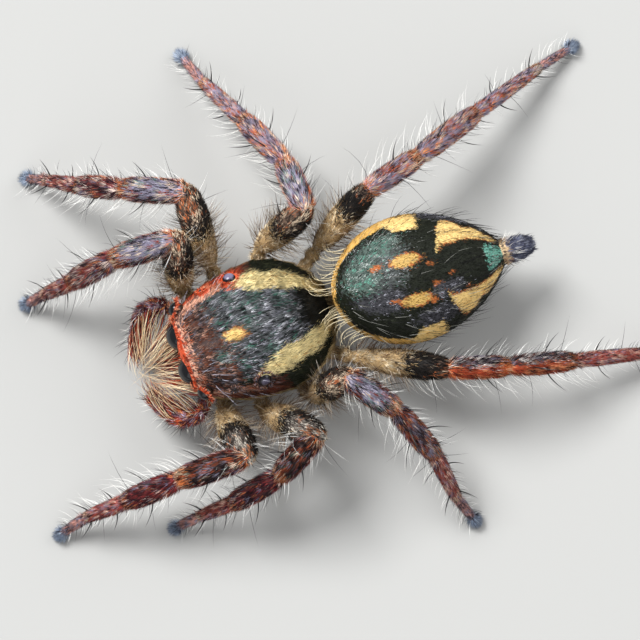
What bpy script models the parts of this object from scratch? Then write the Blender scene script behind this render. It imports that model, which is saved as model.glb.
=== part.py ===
"""A jumping spider at life size, standing still on its eight feet.

Lengths are in millimetres while the shapes are made, and every finished mesh is
turned into metres at the end. The spider faces -Y, its left side is +X, and its
feet stand at z = 0. While it is made, y = 0 is the line of the two hind eyes.
"""
import math

import bmesh
import bpy
from mathutils import Matrix, Vector

MM = 0.001

# Shield over head and chest, as cross sections along the body: y, half width at the
# margin, top height, and how square the section is (1 is round)
CARAPACE_STATIONS = (
    (-1.62, 0.70, 2.30, 0.60),
    (-1.55, 0.93, 2.42, 0.54),
    (-1.38, 1.08, 2.52, 0.50),
    (-1.05, 1.24, 2.65, 0.52),
    (-0.60, 1.42, 2.80, 0.54),
    (0.00, 1.54, 2.90, 0.56),
    (0.55, 1.57, 2.92, 0.62),
    (1.00, 1.47, 2.78, 0.72),
    (1.40, 1.26, 2.44, 0.82),
    (1.72, 0.96, 2.04, 0.90),
    (1.92, 0.62, 1.70, 0.95),
    (2.02, 0.30, 1.50, 1.00),
)
CARAPACE_POINTS = 18
MARGIN_HEIGHT = 1.36
MARGIN_DEPTH = 0.10

# Plate between the leg roots, with the lip and the two side plates of the mouth
STERNUM_CENTRE = (0.0, 0.22, 0.89)
STERNUM_RADII = (0.50, 1.15, 0.21)
LIP_CENTRE = (0.0, -0.98, 0.87)
LIP_RADII = (0.17, 0.30, 0.12)
MOUTH_PLATE_CENTRE = (0.36, -1.10, 0.89)
MOUTH_PLATE_RADII = (0.20, 0.42, 0.16)
CHEST_CORE_Y = 0.30
CHEST_CORE_RADIUS = 0.34

# Abdomen: an egg turned a little to the left, broadest before its middle
ABDOMEN_FRONT = (-0.02, 2.06, 1.84)
ABDOMEN_LENGTH = 4.10
ABDOMEN_HALF_WIDTH = 1.50
ABDOMEN_HALF_HEIGHT = 1.14
ABDOMEN_DROP = 0.34
ABDOMEN_YAW = 3.0
ABDOMEN_SKEW = 0.85
ABDOMEN_FULLNESS = 0.57
ABDOMEN_RINGS = 19
ABDOMEN_POINTS = 22
PEDICEL_ENDS = ((0.0, 1.66, 0.98), (0.0, 2.20, 1.10))
PEDICEL_RADIUS = 0.15
SPINNERET_LENGTH = 0.72
SPINNERET_RADIUS = 0.26
# Four spinnerets: place across and up from the middle, share of the full length
SPINNERETS = ((-0.13, 0.06, 1.0), (0.13, 0.06, 1.0), (-0.10, -0.12, 0.8), (0.10, -0.12, 0.8))

# Eyes: name, centre on the left side, radius
EYES = (
    ("am", (0.41, -1.46, 2.06), 0.345),
    ("al", (0.99, -1.36, 2.13), 0.185),
    ("pm", (1.16, -0.70, 2.40), 0.060),
    ("pl", (1.17, 0.00, 2.51), 0.175),
)
EYE_GAP = 0.03
SMALL_EYE = 0.10

# Legs: place of the hip, then heading, rise and length of femur, patella, tibia,
# metatarsus and tarsus. A heading is counted from straight ahead towards the leg's
# own side, and a rise is counted up from level, both in degrees.
LEGS = {
    "leg_r1": ((-1.50, -1.13), (107, 4, -4, 3, -1), (59, -15, -36, -48, -50),
               (1.93, 1.54, 1.38, 1.12, 0.72)),
    "leg_l1": ((1.40, -1.16), (99, -1, 1, 0, 11), (39, -12, -24, -30, -32),
               (1.66, 1.69, 1.45, 1.19, 0.82)),
    "leg_r2": ((-1.80, -0.34), (93, 24, 29, 35, 33), (46, -11, -37, -46, -49),
               (2.29, 1.53, 1.33, 1.24, 0.76)),
    "leg_l2": ((1.74, -0.28), (134, 27, 8, -1, 4), (43, -21, -33, -36, -33),
               (1.96, 1.37, 1.48, 1.03, 0.72)),
    "leg_r3": ((-1.80, 0.84), (166, 86, 67, 65, 71), (42, -11, -26, -30, -26),
               (1.83, 1.29, 1.61, 1.61, 0.92)),
    "leg_l3": ((1.82, 0.86), (184, 127, 112, 98, 111), (57, -6, -28, -42, -38),
               (1.67, 1.36, 1.49, 1.41, 0.78)),
    "leg_r4": ((-1.38, 2.12), (154, 165, 160, 161, 165), (32, -8, -21, -23, -19),
               (1.98, 1.44, 1.85, 2.05, 0.92)),
    "leg_l4": ((1.28, 2.06), (152, 163, 167, 168, 168), (20, -6, -20, -22, -18),
               (2.33, 1.42, 1.60, 1.91, 0.90)),
}
HIP_HEIGHT = 1.02
COXA_ROOTS = ((0.68, -0.72), (0.74, -0.16), (0.74, 0.46), (0.60, 1.10))
COXA_HEIGHT = 0.94
COXA_RADIUS = 0.25
COXA_REACH = 0.72
TROCHANTER_RADIUS = 0.23
TROCHANTER_REACH = 0.84
# Greatest radii of femur, patella, tibia, metatarsus and tarsus, pair by pair
LEG_RADII = (
    (0.40, 0.35, 0.32, 0.235, 0.175),
    (0.40, 0.34, 0.31, 0.225, 0.170),
    (0.38, 0.34, 0.31, 0.235, 0.165),
    (0.37, 0.31, 0.30, 0.225, 0.155),
)
LEG_SIDES = 8
FEMUR_DEPTH = 1.06
FEMUR_BOW = 0.05
KNEE_GAP = 0.05
TUFT_RADIUS = 0.19
TUFT_FLATNESS = 0.75
SOLE_RADIUS = 0.11
SOLE_HEIGHT = 0.10
# Along a segment: fraction of its length, fraction of its greatest radius
FEMUR_PROFILE = ((-0.05, 0.30), (0.0, 0.52), (0.18, 0.78), (0.45, 0.98),
                 (0.75, 1.0), (0.96, 0.84), (1.08, 0.36))
SEGMENT_PROFILE = ((-0.07, 0.34), (0.0, 0.74), (0.16, 0.93), (0.45, 1.0),
                   (0.78, 0.97), (0.97, 0.80), (1.06, 0.36))
SLIM_PROFILE = ((-0.06, 0.50), (0.0, 0.94), (0.3, 1.0), (0.7, 0.90),
                (0.97, 0.80), (1.05, 0.36))
JAW_PROFILE = ((-0.05, 0.35), (0.0, 0.6), (0.3, 0.86), (0.7, 1.0), (0.95, 0.86), (1.02, 0.5))
FANG_PROFILE = ((-0.05, 0.6), (0.0, 1.0), (0.6, 0.6), (1.0, 0.12))
STALK_PROFILE = ((0.0, 0.8), (0.5, 1.0), (1.0, 0.9))
SOLE_PROFILE = ((0.0, 1.0), (1.0, 1.2))

# Feelers beside the mouth and jaws, both given on the left side
PALP_JOINTS = ((0.80, -1.30, 0.98), (1.28, -1.58, 1.12), (1.40, -1.98, 1.24),
               (1.12, -2.32, 1.00), (0.52, -2.62, 0.52))
PALP_RADII = (0.18, 0.22, 0.25, 0.23)
CHELICERA_TOP = (0.375, -1.52, 1.10)
CHELICERA_TIP = (0.30, -1.80, 0.32)
CHELICERA_RADIUS = 0.345
FANG_RADIUS = 0.07

# Spines of the outer leg: segment (1 patella, 2 tibia, 3 metatarsus), fraction along
# it, turn from the top towards the front side in degrees, length
SHANK_SPINES = (
    (1, 0.60, 80, 0.46), (1, 0.60, -80, 0.46),
    (2, 0.30, 20, 0.62), (2, 0.55, 90, 0.58), (2, 0.55, -95, 0.58), (2, 0.82, -150, 0.46),
    (3, 0.30, 110, 0.46), (3, 0.30, -110, 0.46), (3, 0.86, 60, 0.40), (3, 0.86, -60, 0.40),
)
FEMUR_SPINES = ((0, 0.48, 5, 0.62), (0, 0.72, -32, 0.70), (0, 0.74, 34, 0.66))
SPINE_WIDTH = 0.09
SPINE_LEAN = 48
# Fringe locks on the front side of the outer leg, listed as the spines are
SHANK_LOCKS = ((1, 0.50, 128, 0.50), (1, 0.80, 130, 0.56), (2, 0.30, 128, 0.56),
               (2, 0.58, 128, 0.52), (2, 0.86, 126, 0.44))
LOCK_LEAN = 36
LOCK_WIDTH = 0.21
LOCK_THICKNESS = 0.07
ROOT_DEPTH = 0.38
FLOOR_CLEARANCE = 0.08
# Long locks of each feeler, which meet in front of the jaws
PALP_LOCKS = 7
PALP_LOCK_SPAN = (0.45, 2.85)
PALP_LOCK_WIDTH = 0.20
PALP_LOCK_AIM = (0.12, -2.30, 1.04)
PALP_LOCK_STEP = (0.05, -0.07, -0.09)
PALP_LOCK_RISE = (0.0, -0.05, 0.16)
# Locks under the front eyes: place of the root and of the tip to the side
FACE_LOCKS = ((0.14, 0.09), (0.42, 0.20), (0.74, 0.33))
FACE_LOCK_ROOT = (-1.46, 1.48)
FACE_LOCK_TIP = (-2.26, 1.22)
FACE_LOCK_RISE = (0.0, -0.08, 0.14)
# Locks on the nape: place back from the hind eyes and to the side
NAPE_LOCKS = ((1.55, 0.62), (1.72, 0.30), (1.40, 0.90))
NAPE_LOCK_REACH = (0.06, 0.26, 0.40)
NAPE_LOCK_BEND = (0.0, 0.04, 0.30)
NAPE_LOCK_WIDTH = 0.17
SHARP_ANGLE = 50

# Colour and roughness of each kind of part
MATERIALS = {
    "carapace": ((0.055, 0.045, 0.050), 0.60),
    "underside": ((0.200, 0.115, 0.060), 0.60),
    "abdomen": ((0.045, 0.050, 0.045), 0.55),
    "leg": ((0.200, 0.090, 0.070), 0.60),
    "palp": ((0.380, 0.120, 0.060), 0.60),
    "chelicera": ((0.120, 0.050, 0.030), 0.35),
    "eye": ((0.010, 0.009, 0.012), 0.05),
    "spinneret": ((0.110, 0.120, 0.140), 0.60),
}


def material(kind):
    """Return the material of one kind of part, made on first use."""
    found = bpy.data.materials.get(kind)
    if found:
        return found
    colour, roughness = MATERIALS[kind]
    made = bpy.data.materials.new(kind)
    made.use_nodes = True
    made.diffuse_color = (*colour, 1.0)
    shader = made.node_tree.nodes["Principled BSDF"]
    shader.inputs["Base Color"].default_value = (*colour, 1.0)
    shader.inputs["Roughness"].default_value = roughness
    shader.inputs["Metallic"].default_value = 0.0
    return made


def clear_scene():
    """Remove every object, so that the spider stands alone."""
    for thing in list(bpy.data.objects):
        bpy.data.objects.remove(thing, do_unlink=True)


def to_side(place, side):
    """Return a place given on the left side, mirrored when the side is -1."""
    return Vector((side * place[0], place[1], place[2]))


def mesh_object(name, points, faces, kind):
    """Make an object from points and faces and link it to the scene."""
    mesh = bpy.data.meshes.new(name)
    mesh.from_pydata([tuple(p) for p in points], [], faces)
    mesh.materials.append(material(kind))
    mesh.shade_smooth()
    thing = bpy.data.objects.new(name, mesh)
    bpy.context.scene.collection.objects.link(thing)
    return thing


def loft(name, rings, kind):
    """Skin a row of rings and close both ends with a flat face."""
    count = len(rings[0])
    points = [p for ring in rings for p in ring]
    faces = []
    for k in range(len(rings) - 1):
        low = k * count
        high = low + count
        for i in range(count):
            j = (i + 1) % count
            faces.append((low + i, low + j, high + j, high + i))
    faces.append(tuple(reversed(range(count))))
    last = (len(rings) - 1) * count
    faces.append(tuple(last + i for i in range(count)))
    return mesh_object(name, points, faces, kind)


def frame_along(direction):
    """Return the sideways and upward unit vectors that go with a direction."""
    ahead = direction.normalized()
    hint = Vector((0.0, 0.0, 1.0))
    if abs(ahead.z) > 0.97:
        hint = Vector((0.0, -1.0, 0.0))
    side = ahead.cross(hint).normalized()
    return side, side.cross(ahead).normalized()


def round_ring(centre, side, up, width, height, count):
    """Return the points of an ellipse about a centre."""
    turns = [2.0 * math.pi * i / count for i in range(count)]
    return [centre - side * (width * math.cos(a)) + up * (height * math.sin(a)) for a in turns]


def spindle(name, start, end, radius, profile, kind, sides=LEG_SIDES, deep=1.0, bow=0.0):
    """Make a closed swelling tube between two points, bowed upwards by a little."""
    start = Vector(start)
    end = Vector(end)
    axis = end - start
    side, up = frame_along(axis)
    rings = []
    for along, share in profile:
        lift = up * (bow * 4.0 * along * (1.0 - along))
        rings.append(round_ring(start + axis * along + lift, side, up,
                                radius * share, radius * share * deep, sides))
    return loft(name, rings, kind)


def ball(name, centre, radii, kind, segments=12, rings=8):
    """Make a closed ellipsoid with a point at its two poles."""
    centre = Vector(centre)
    top = Vector((0.0, 0.0, radii[2]))
    points = [centre + top]
    for k in range(1, rings):
        polar = math.pi * k / rings
        for i in range(segments):
            turn = 2.0 * math.pi * i / segments
            points.append(centre + Vector((radii[0] * math.sin(polar) * math.cos(turn),
                                           radii[1] * math.sin(polar) * math.sin(turn),
                                           radii[2] * math.cos(polar))))
    points.append(centre - top)
    last = len(points) - 1
    faces = [(0, 1 + i, 1 + (i + 1) % segments) for i in range(segments)]
    for k in range(rings - 2):
        low = 1 + k * segments
        for i in range(segments):
            j = (i + 1) % segments
            faces.append((low + i, low + segments + i, low + segments + j, low + j))
    low = 1 + (rings - 2) * segments
    faces += [(low + (i + 1) % segments, low + i, last) for i in range(segments)]
    return mesh_object(name, points, faces, kind)


def strand(root, bend, tip, width, thickness, kind, sides, steps):
    """Make a closed tapering spine or lock along a curve from its root to its tip."""
    rings = []
    for k in range(steps):
        t = k / (steps - 1)
        centre = root * (1 - t) ** 2 + bend * (2 * t * (1 - t)) + tip * t ** 2
        ahead = (bend - root) * (1 - t) + (tip - bend) * t
        side, up = frame_along(ahead)
        share = max(1.0 - t ** 1.4, 0.10)
        rings.append(round_ring(centre, side, up, width / 2 * share, thickness / 2 * share, sides))
    return loft("strand", rings, kind)


def apply_modifiers(thing):
    """Replace an object's mesh by the mesh that its modifiers give."""
    graph = bpy.context.evaluated_depsgraph_get()
    solid = bpy.data.meshes.new_from_object(thing.evaluated_get(graph))
    thing.modifiers.clear()
    thing.data = solid


def keep_largest(thing):
    """Keep only the closed surface with the most faces."""
    mesh = thing.data
    leader = list(range(len(mesh.vertices)))

    def first(i):
        while leader[i] != i:
            leader[i] = leader[leader[i]]
            i = leader[i]
        return i

    for edge in mesh.edges:
        a, b = (first(i) for i in edge.vertices)
        leader[a] = b
    sizes = {}
    for face in mesh.polygons:
        key = first(face.vertices[0])
        sizes[key] = sizes.get(key, 0) + 1
    best = max(sizes, key=sizes.get)
    kept = [i for i in range(len(mesh.vertices)) if first(i) == best]
    place = {old: new for new, old in enumerate(kept)}
    points = [mesh.vertices[i].co.copy() for i in kept]
    faces = [tuple(place[i] for i in face.vertices)
             for face in mesh.polygons if first(face.vertices[0]) == best]
    clean = bpy.data.meshes.new(thing.name)
    clean.from_pydata(points, [], faces)
    clean.materials.append(mesh.materials[0])
    clean.shade_smooth()
    thing.data = clean


def fuse(name, pieces):
    """Join overlapping closed pieces into one closed body named after the part.

    The exact solver leaves inner walls where thin spines enter a leg, so the solver
    for closed meshes makes the unions.
    """
    body = pieces[0]
    others = bpy.data.collections.new(name + "_pieces")
    for piece in pieces[1:]:
        others.objects.link(piece)
    join = body.modifiers.new("join", "BOOLEAN")
    join.operation = "UNION"
    join.operand_type = "COLLECTION"
    join.collection = others
    join.solver = "MANIFOLD"
    apply_modifiers(body)
    for piece in pieces[1:]:
        bpy.data.objects.remove(piece, do_unlink=True)
    bpy.data.collections.remove(others)
    body.name = name
    keep_largest(body)
    return body


def carve(body, cutters):
    """Cut closed cutters out of a body and remove them."""
    for cutter in cutters:
        cut = body.modifiers.new("cut", "BOOLEAN")
        cut.operation = "DIFFERENCE"
        cut.object = cutter
        cut.solver = "EXACT"
        apply_modifiers(body)
        bpy.data.objects.remove(cutter, do_unlink=True)
    keep_largest(body)
    return body


def slice_off(thing, point, normal):
    """Cut away what lies beyond a plane and close the piece with a flat face."""
    form = bmesh.new()
    form.from_mesh(thing.data)
    shape = form.verts[:] + form.edges[:] + form.faces[:]
    cut = bmesh.ops.bisect_plane(form, geom=shape, plane_co=point, plane_no=normal, clear_outer=True)
    rim = [edge for edge in cut["geom_cut"] if isinstance(edge, bmesh.types.BMEdge)]
    bmesh.ops.holes_fill(form, edges=rim, sides=0)
    bmesh.ops.recalc_face_normals(form, faces=form.faces)
    form.to_mesh(thing.data)
    form.free()


def carapace_at(y):
    """Return the shield's half width, top height and squareness at any y."""
    if y <= CARAPACE_STATIONS[0][0]:
        return CARAPACE_STATIONS[0][1:]
    for low, high in zip(CARAPACE_STATIONS, CARAPACE_STATIONS[1:]):
        if y <= high[0]:
            share = (y - low[0]) / (high[0] - low[0])
            return tuple(a + (b - a) * share for a, b in zip(low[1:], high[1:]))
    return CARAPACE_STATIONS[-1][1:]


def dome_power(square):
    """Return how fast a cross section rises to its flat top."""
    return 0.62 + 0.3 * square


def carapace_ring(y):
    """Return one cross section of the shield, flat below and domed above."""
    half, top, square = carapace_at(y)
    ring = []
    for i in range(CARAPACE_POINTS):
        turn = 2.0 * math.pi * i / CARAPACE_POINTS
        across = -math.cos(turn)
        upward = math.sin(turn)
        x = half * math.copysign(abs(across) ** square, across)
        z = MARGIN_HEIGHT + MARGIN_DEPTH * upward
        if upward >= 0.0:
            z = MARGIN_HEIGHT + (top - MARGIN_HEIGHT) * upward ** dome_power(square)
        ring.append(Vector((x, y, z)))
    return ring


def carapace_height(x, y):
    """Return the height of the shield's upper surface over a point."""
    half, top, square = carapace_at(y)
    across = min(abs(x) / half, 0.999) ** (1.0 / square)
    return MARGIN_HEIGHT + (top - MARGIN_HEIGHT) * (1.0 - across ** 2) ** (dome_power(square) / 2)


def face_lock(side, root_across, tip_across):
    """Make one of the locks that hang from under the front eyes over the jaws."""
    root = Vector((side * root_across, FACE_LOCK_ROOT[0] + 0.10 * root_across, FACE_LOCK_ROOT[1]))
    tip = Vector((side * tip_across, FACE_LOCK_TIP[0] + 0.12 * root_across,
                  FACE_LOCK_TIP[1] + 0.06 * root_across))
    bend = root.lerp(tip, 0.5) + Vector(FACE_LOCK_RISE)
    return strand(root, bend, tip, LOCK_WIDTH, LOCK_THICKNESS, "carapace", 4, 4)


def nape_lock(side, y, across):
    """Make one of the short locks that stand up behind the shield."""
    root = Vector((side * across, y - 0.05, carapace_height(across, y) - 0.08))
    tip = root + to_side(NAPE_LOCK_REACH, side)
    return strand(root, root + Vector(NAPE_LOCK_BEND), tip, NAPE_LOCK_WIDTH, LOCK_THICKNESS,
                  "carapace", 4, 3)


def make_carapace():
    """Make the high squarish shield, with a socket for each eye and its locks."""
    stations = [row[0] for row in CARAPACE_STATIONS]
    between = [(a + b) / 2 for a, b in zip(stations[2:9], stations[3:10])]
    shield = loft("carapace", [carapace_ring(y) for y in sorted(stations + between)], "carapace")
    sockets = []
    for name, place, radius in EYES:
        reach = radius + EYE_GAP
        for side in (-1, 1):
            sockets.append(ball("socket", to_side(place, side), (reach,) * 3, "carapace", 12, 7))
    carve(shield, sockets)
    locks = []
    for side in (-1, 1):
        locks += [face_lock(side, *ends) for ends in FACE_LOCKS]
        locks += [nape_lock(side, *place) for place in NAPE_LOCKS]
    return fuse("carapace", [shield] + locks)


def make_eyes():
    """Make the eight eyes as balls that sit in the sockets."""
    eyes = []
    for name, place, radius in EYES:
        fine = 14 if radius > SMALL_EYE else 8
        for letter, side in (("r", -1), ("l", 1)):
            eyes.append(ball("eye_" + name + "_" + letter, to_side(place, side), (radius,) * 3,
                             "eye", fine, fine // 2))
    return eyes


def make_sternum():
    """Make the plate between the leg roots, with the mouth parts and the chest above it."""
    plate = ball("sternum", STERNUM_CENTRE, STERNUM_RADII, "underside", 14, 6)
    pieces = [plate, ball("lip", LIP_CENTRE, LIP_RADII, "underside", 10, 6)]
    for side in (-1, 1):
        pieces.append(ball("plate", to_side(MOUTH_PLATE_CENTRE, side), MOUTH_PLATE_RADII,
                           "underside", 10, 6))
    low = Vector((0.0, CHEST_CORE_Y, STERNUM_CENTRE[2]))
    high = Vector((0.0, CHEST_CORE_Y, MARGIN_HEIGHT - MARGIN_DEPTH - 0.06))
    pieces.append(spindle("core", low, high, CHEST_CORE_RADIUS, ((0.0, 1.0), (1.0, 0.8)), "underside"))
    return fuse("sternum", pieces)


def make_pedicel():
    """Make the thin stalk between chest and abdomen."""
    return spindle("pedicel", *PEDICEL_ENDS, PEDICEL_RADIUS, STALK_PROFILE, "underside", 10)


def abdomen_frame():
    """Return the abdomen's front point, its direction and its sideways and up vectors."""
    yaw = math.radians(ABDOMEN_YAW)
    pitch = math.atan2(ABDOMEN_DROP, ABDOMEN_LENGTH)
    back = Vector((math.sin(yaw) * math.cos(pitch), math.cos(yaw) * math.cos(pitch), -math.sin(pitch)))
    side, up = frame_along(back)
    return Vector(ABDOMEN_FRONT), back, side, up


def abdomen_share(along):
    """Return the abdomen's width at a fraction of its length, as a share of the greatest."""
    return math.sin(math.pi * along ** ABDOMEN_SKEW) ** ABDOMEN_FULLNESS


def make_abdomen():
    """Make the egg-shaped abdomen."""
    front, back, side, up = abdomen_frame()
    rings = []
    for k in range(ABDOMEN_RINGS):
        turn = math.pi * (0.03 + 0.94 * k / (ABDOMEN_RINGS - 1))
        along = 0.5 - 0.5 * math.cos(turn)
        share = abdomen_share(along)
        rings.append(round_ring(front + back * (ABDOMEN_LENGTH * along), side, up,
                                ABDOMEN_HALF_WIDTH * share, ABDOMEN_HALF_HEIGHT * share,
                                ABDOMEN_POINTS))
    return loft("abdomen", rings, "abdomen")


def make_spinnerets():
    """Make the bunch of short spinnerets behind the abdomen."""
    front, back, side, up = abdomen_frame()
    root = front + back * (ABDOMEN_LENGTH + 0.06)
    pieces = [spindle("spinnerets", root, root + back * SPINNERET_LENGTH * 0.75,
                      SPINNERET_RADIUS, SEGMENT_PROFILE, "spinneret")]
    for across, height, share in SPINNERETS:
        place = side * across + up * height
        pieces.append(spindle("tube", root + place * 0.75, root + place + back * SPINNERET_LENGTH * share,
                              SPINNERET_RADIUS * 0.42, SLIM_PROFILE, "spinneret", 6))
    return fuse("spinnerets", pieces)


def make_chelicera(letter, side):
    """Make one jaw, with its fang folded under it."""
    top = to_side(CHELICERA_TOP, side)
    tip = to_side(CHELICERA_TIP, side)
    jaw = spindle("jaw", tip, top, CHELICERA_RADIUS, JAW_PROFILE, "chelicera", 12)
    fang = spindle("fang", tip + Vector((side * 0.10, 0.02, 0.06)),
                   tip + Vector((-side * 0.12, 0.10, -0.06)), FANG_RADIUS, FANG_PROFILE, "chelicera", 6)
    return fuse("chelicera_" + letter, [jaw, fang])


def make_palp(letter, side):
    """Make one feeler, which curves round in front of the jaw and carries long locks."""
    joints = [to_side(place, side) for place in PALP_JOINTS]
    pieces = [spindle("piece", a, b, radius, SEGMENT_PROFILE, "palp")
              for a, b, radius in zip(joints, joints[1:], PALP_RADII)]
    aim = to_side(PALP_LOCK_AIM, side)
    first, last = PALP_LOCK_SPAN
    for k in range(PALP_LOCKS):
        along = first + (last - first) * k / (PALP_LOCKS - 1)
        segment = min(int(along) + 1, 3)
        root = joints[segment].lerp(joints[segment + 1], along + 1 - segment)
        root += to_side((-0.06, 0.0, 0.10), side)
        tip = aim + Vector((side * PALP_LOCK_STEP[0] * (k % 2), PALP_LOCK_STEP[1] * k,
                            PALP_LOCK_STEP[2] * k))
        bend = root.lerp(tip, 0.5) + Vector(PALP_LOCK_RISE)
        pieces.append(strand(root, bend, tip, PALP_LOCK_WIDTH, LOCK_THICKNESS, "palp", 4, 4))
    return fuse("palp_" + letter, pieces)


def direction_of(side, heading, rise):
    """Return the unit vector of a heading and a rise on one side of the body."""
    turn = math.radians(heading)
    lift = math.radians(rise)
    return Vector((side * math.sin(turn) * math.cos(lift), -math.cos(turn) * math.cos(lift),
                   math.sin(lift)))


def leg_side(name):
    """Return -1 for a right leg and 1 for a left one."""
    return -1 if "_r" in name else 1


def leg_joints(name):
    """Return a leg's joints from the hip to the foot, with the foot's tuft on the floor."""
    (x, y), headings, rises, lengths = LEGS[name]
    joints = [Vector((x, y, HIP_HEIGHT))]
    for heading, rise, length in zip(headings, rises, lengths):
        joints.append(joints[-1] + direction_of(leg_side(name), heading, rise) * length)
    slack = joints[-1].z - TUFT_RADIUS * 0.8
    for k in range(1, 6):
        joints[k].z -= slack * k / 5.0
    return joints


def knee_direction(hip, knee, ankle):
    """Return the direction half way between the femur's and the patella's."""
    return ((knee - hip).normalized() + (ankle - knee).normalized()).normalized()


def growths(name, joints, radii, rows, lean, width, thickness, sides):
    """Make the spines or locks of a leg, leaning towards the foot and clear of the floor."""
    made = []
    angle = math.radians(lean)
    for k, along, turn, length in rows:
        start, end = joints[k], joints[k + 1]
        ahead = (end - start).normalized()
        side, up = frame_along(ahead)
        around = math.radians(turn)
        out = up * math.cos(around) + side * (leg_side(name) * math.sin(around))
        root = start.lerp(end, along) + out * (radii[k] * (1.0 - ROOT_DEPTH))
        reach = length + radii[k] * ROOT_DEPTH
        tip = root + (out * math.sin(angle) + ahead * math.cos(angle)) * reach
        bend = root + (out * 0.8 + ahead * 0.35) * (reach * 0.5)
        tip.z = max(tip.z, FLOOR_CLEARANCE)
        bend.z = max(bend.z, FLOOR_CLEARANCE)
        made.append(strand(root, bend, tip, width, thickness, "leg", sides, 3))
    return made


def make_thigh(name):
    """Make the inner part of a leg, from its root under the shield to the knee."""
    pair = int(name[-1]) - 1
    root_x, root_y = COXA_ROOTS[pair]
    root = Vector((leg_side(name) * root_x, root_y, COXA_HEIGHT))
    joints = leg_joints(name)
    hip, knee, ankle = joints[:3]
    radii = LEG_RADII[pair]
    bend = knee_direction(hip, knee, ankle)
    femur = spindle("femur", hip, knee, radii[0], FEMUR_PROFILE, "leg", LEG_SIDES, FEMUR_DEPTH, FEMUR_BOW)
    slice_off(femur, knee - bend * KNEE_GAP / 2, bend)
    pieces = [femur]
    pieces.append(spindle("coxa", root, root.lerp(hip, COXA_REACH), COXA_RADIUS, SLIM_PROFILE, "leg"))
    pieces.append(ball("trochanter", root.lerp(hip, TROCHANTER_REACH), (TROCHANTER_RADIUS,) * 3,
                       "leg", 10, 6))
    pieces += growths(name, joints, radii, FEMUR_SPINES, SPINE_LEAN, SPINE_WIDTH, SPINE_WIDTH, 3)
    return fuse(name + "_thigh", pieces)


def make_shank(name):
    """Make the outer part of a leg, from the knee to the claw tuft and its small sole."""
    joints = leg_joints(name)
    hip, knee, ankle = joints[:3]
    foot = joints[5]
    radii = LEG_RADII[int(name[-1]) - 1]
    bend = knee_direction(hip, knee, ankle)
    patella = spindle("patella", knee, ankle, radii[1], SEGMENT_PROFILE, "leg")
    slice_off(patella, knee + bend * KNEE_GAP / 2, -bend)
    pieces = [patella]
    for k, profile in ((2, SEGMENT_PROFILE), (3, SLIM_PROFILE), (4, SLIM_PROFILE)):
        pieces.append(spindle("segment", joints[k], joints[k + 1], radii[k], profile, "leg"))
    pieces.append(ball("tuft", foot, (TUFT_RADIUS, TUFT_RADIUS, TUFT_RADIUS * TUFT_FLATNESS),
                       "leg", 10, 6))
    sole = Vector((foot.x, foot.y, 0.0))
    pieces.append(spindle("sole", sole, sole + Vector((0.0, 0.0, SOLE_HEIGHT)), SOLE_RADIUS,
                          SOLE_PROFILE, "leg", 10))
    pieces += growths(name, joints, radii, SHANK_SPINES, SPINE_LEAN, SPINE_WIDTH, SPINE_WIDTH, 3)
    pieces += growths(name, joints, radii, SHANK_LOCKS, LOCK_LEAN, LOCK_WIDTH, LOCK_THICKNESS, 4)
    return fuse(name + "_shank", pieces)


def finish(parts):
    """Set the spider's box over the origin and turn millimetres into metres."""
    corners = [v.co for part in parts for v in part.data.vertices]
    shift = Vector((-(min(c.x for c in corners) + max(c.x for c in corners)) / 2,
                    -(min(c.y for c in corners) + max(c.y for c in corners)) / 2,
                    -min(c.z for c in corners)))
    for part in parts:
        part.data.transform(Matrix.Translation(shift))
        part.data.transform(Matrix.Scale(MM, 4))
        part.data.set_sharp_from_angle(angle=math.radians(SHARP_ANGLE))
    faces = sum(len(p.vertices) - 2 for part in parts for p in part.data.polygons)
    print("moved by, in mm", [round(value, 4) for value in shift], "triangles", faces)


def main():
    """Build every part of the spider."""
    clear_scene()
    parts = [make_carapace(), make_sternum(), make_pedicel(), make_abdomen(), make_spinnerets()]
    parts += make_eyes()
    for letter, side in (("r", -1), ("l", 1)):
        parts.append(make_chelicera(letter, side))
        parts.append(make_palp(letter, side))
    for name in LEGS:
        parts.append(make_thigh(name))
        parts.append(make_shank(name))
    finish(parts)


main()
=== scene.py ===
# %% [markdown]
# A jumping spider at life size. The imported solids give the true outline, and this
# lesson dresses them: one skin under everything, a coat of many thousand solid hairs
# over it, eight glossy eyes, spines and long bristles, and a plain studio.

# %% Load the solids as a fixed frame
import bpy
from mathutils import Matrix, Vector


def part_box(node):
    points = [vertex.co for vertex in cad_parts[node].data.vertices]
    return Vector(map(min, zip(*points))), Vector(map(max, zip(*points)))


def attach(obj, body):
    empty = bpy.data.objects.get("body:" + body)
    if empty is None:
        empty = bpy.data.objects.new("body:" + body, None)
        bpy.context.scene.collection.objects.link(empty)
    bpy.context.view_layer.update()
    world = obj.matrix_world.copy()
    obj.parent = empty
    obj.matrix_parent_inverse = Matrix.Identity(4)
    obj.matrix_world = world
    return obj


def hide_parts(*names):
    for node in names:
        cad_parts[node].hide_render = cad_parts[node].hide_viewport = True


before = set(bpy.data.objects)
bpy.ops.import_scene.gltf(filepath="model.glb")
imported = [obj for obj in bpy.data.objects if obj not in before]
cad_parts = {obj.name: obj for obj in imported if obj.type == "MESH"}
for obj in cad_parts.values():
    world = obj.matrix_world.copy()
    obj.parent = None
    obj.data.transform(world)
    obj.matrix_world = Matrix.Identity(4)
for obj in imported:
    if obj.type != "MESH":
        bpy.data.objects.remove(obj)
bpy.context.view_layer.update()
print("solids loaded:", len(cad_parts), "nodes")

# %% [markdown]
# The spider is only 15 mm long, so millimetres are the handy unit. The scene's unit is
# the metre, so each finished mesh is made MM times smaller. The design places below put
# y = 0 at the hind eyes, while the frame puts its origin under the middle of the box.
# One front eye, whose design place is known, gives the shift between the two.

# %% Units and the shift to the frame
import math

import bpy
import numpy as np
from mathutils import Matrix, Vector, kdtree

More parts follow.
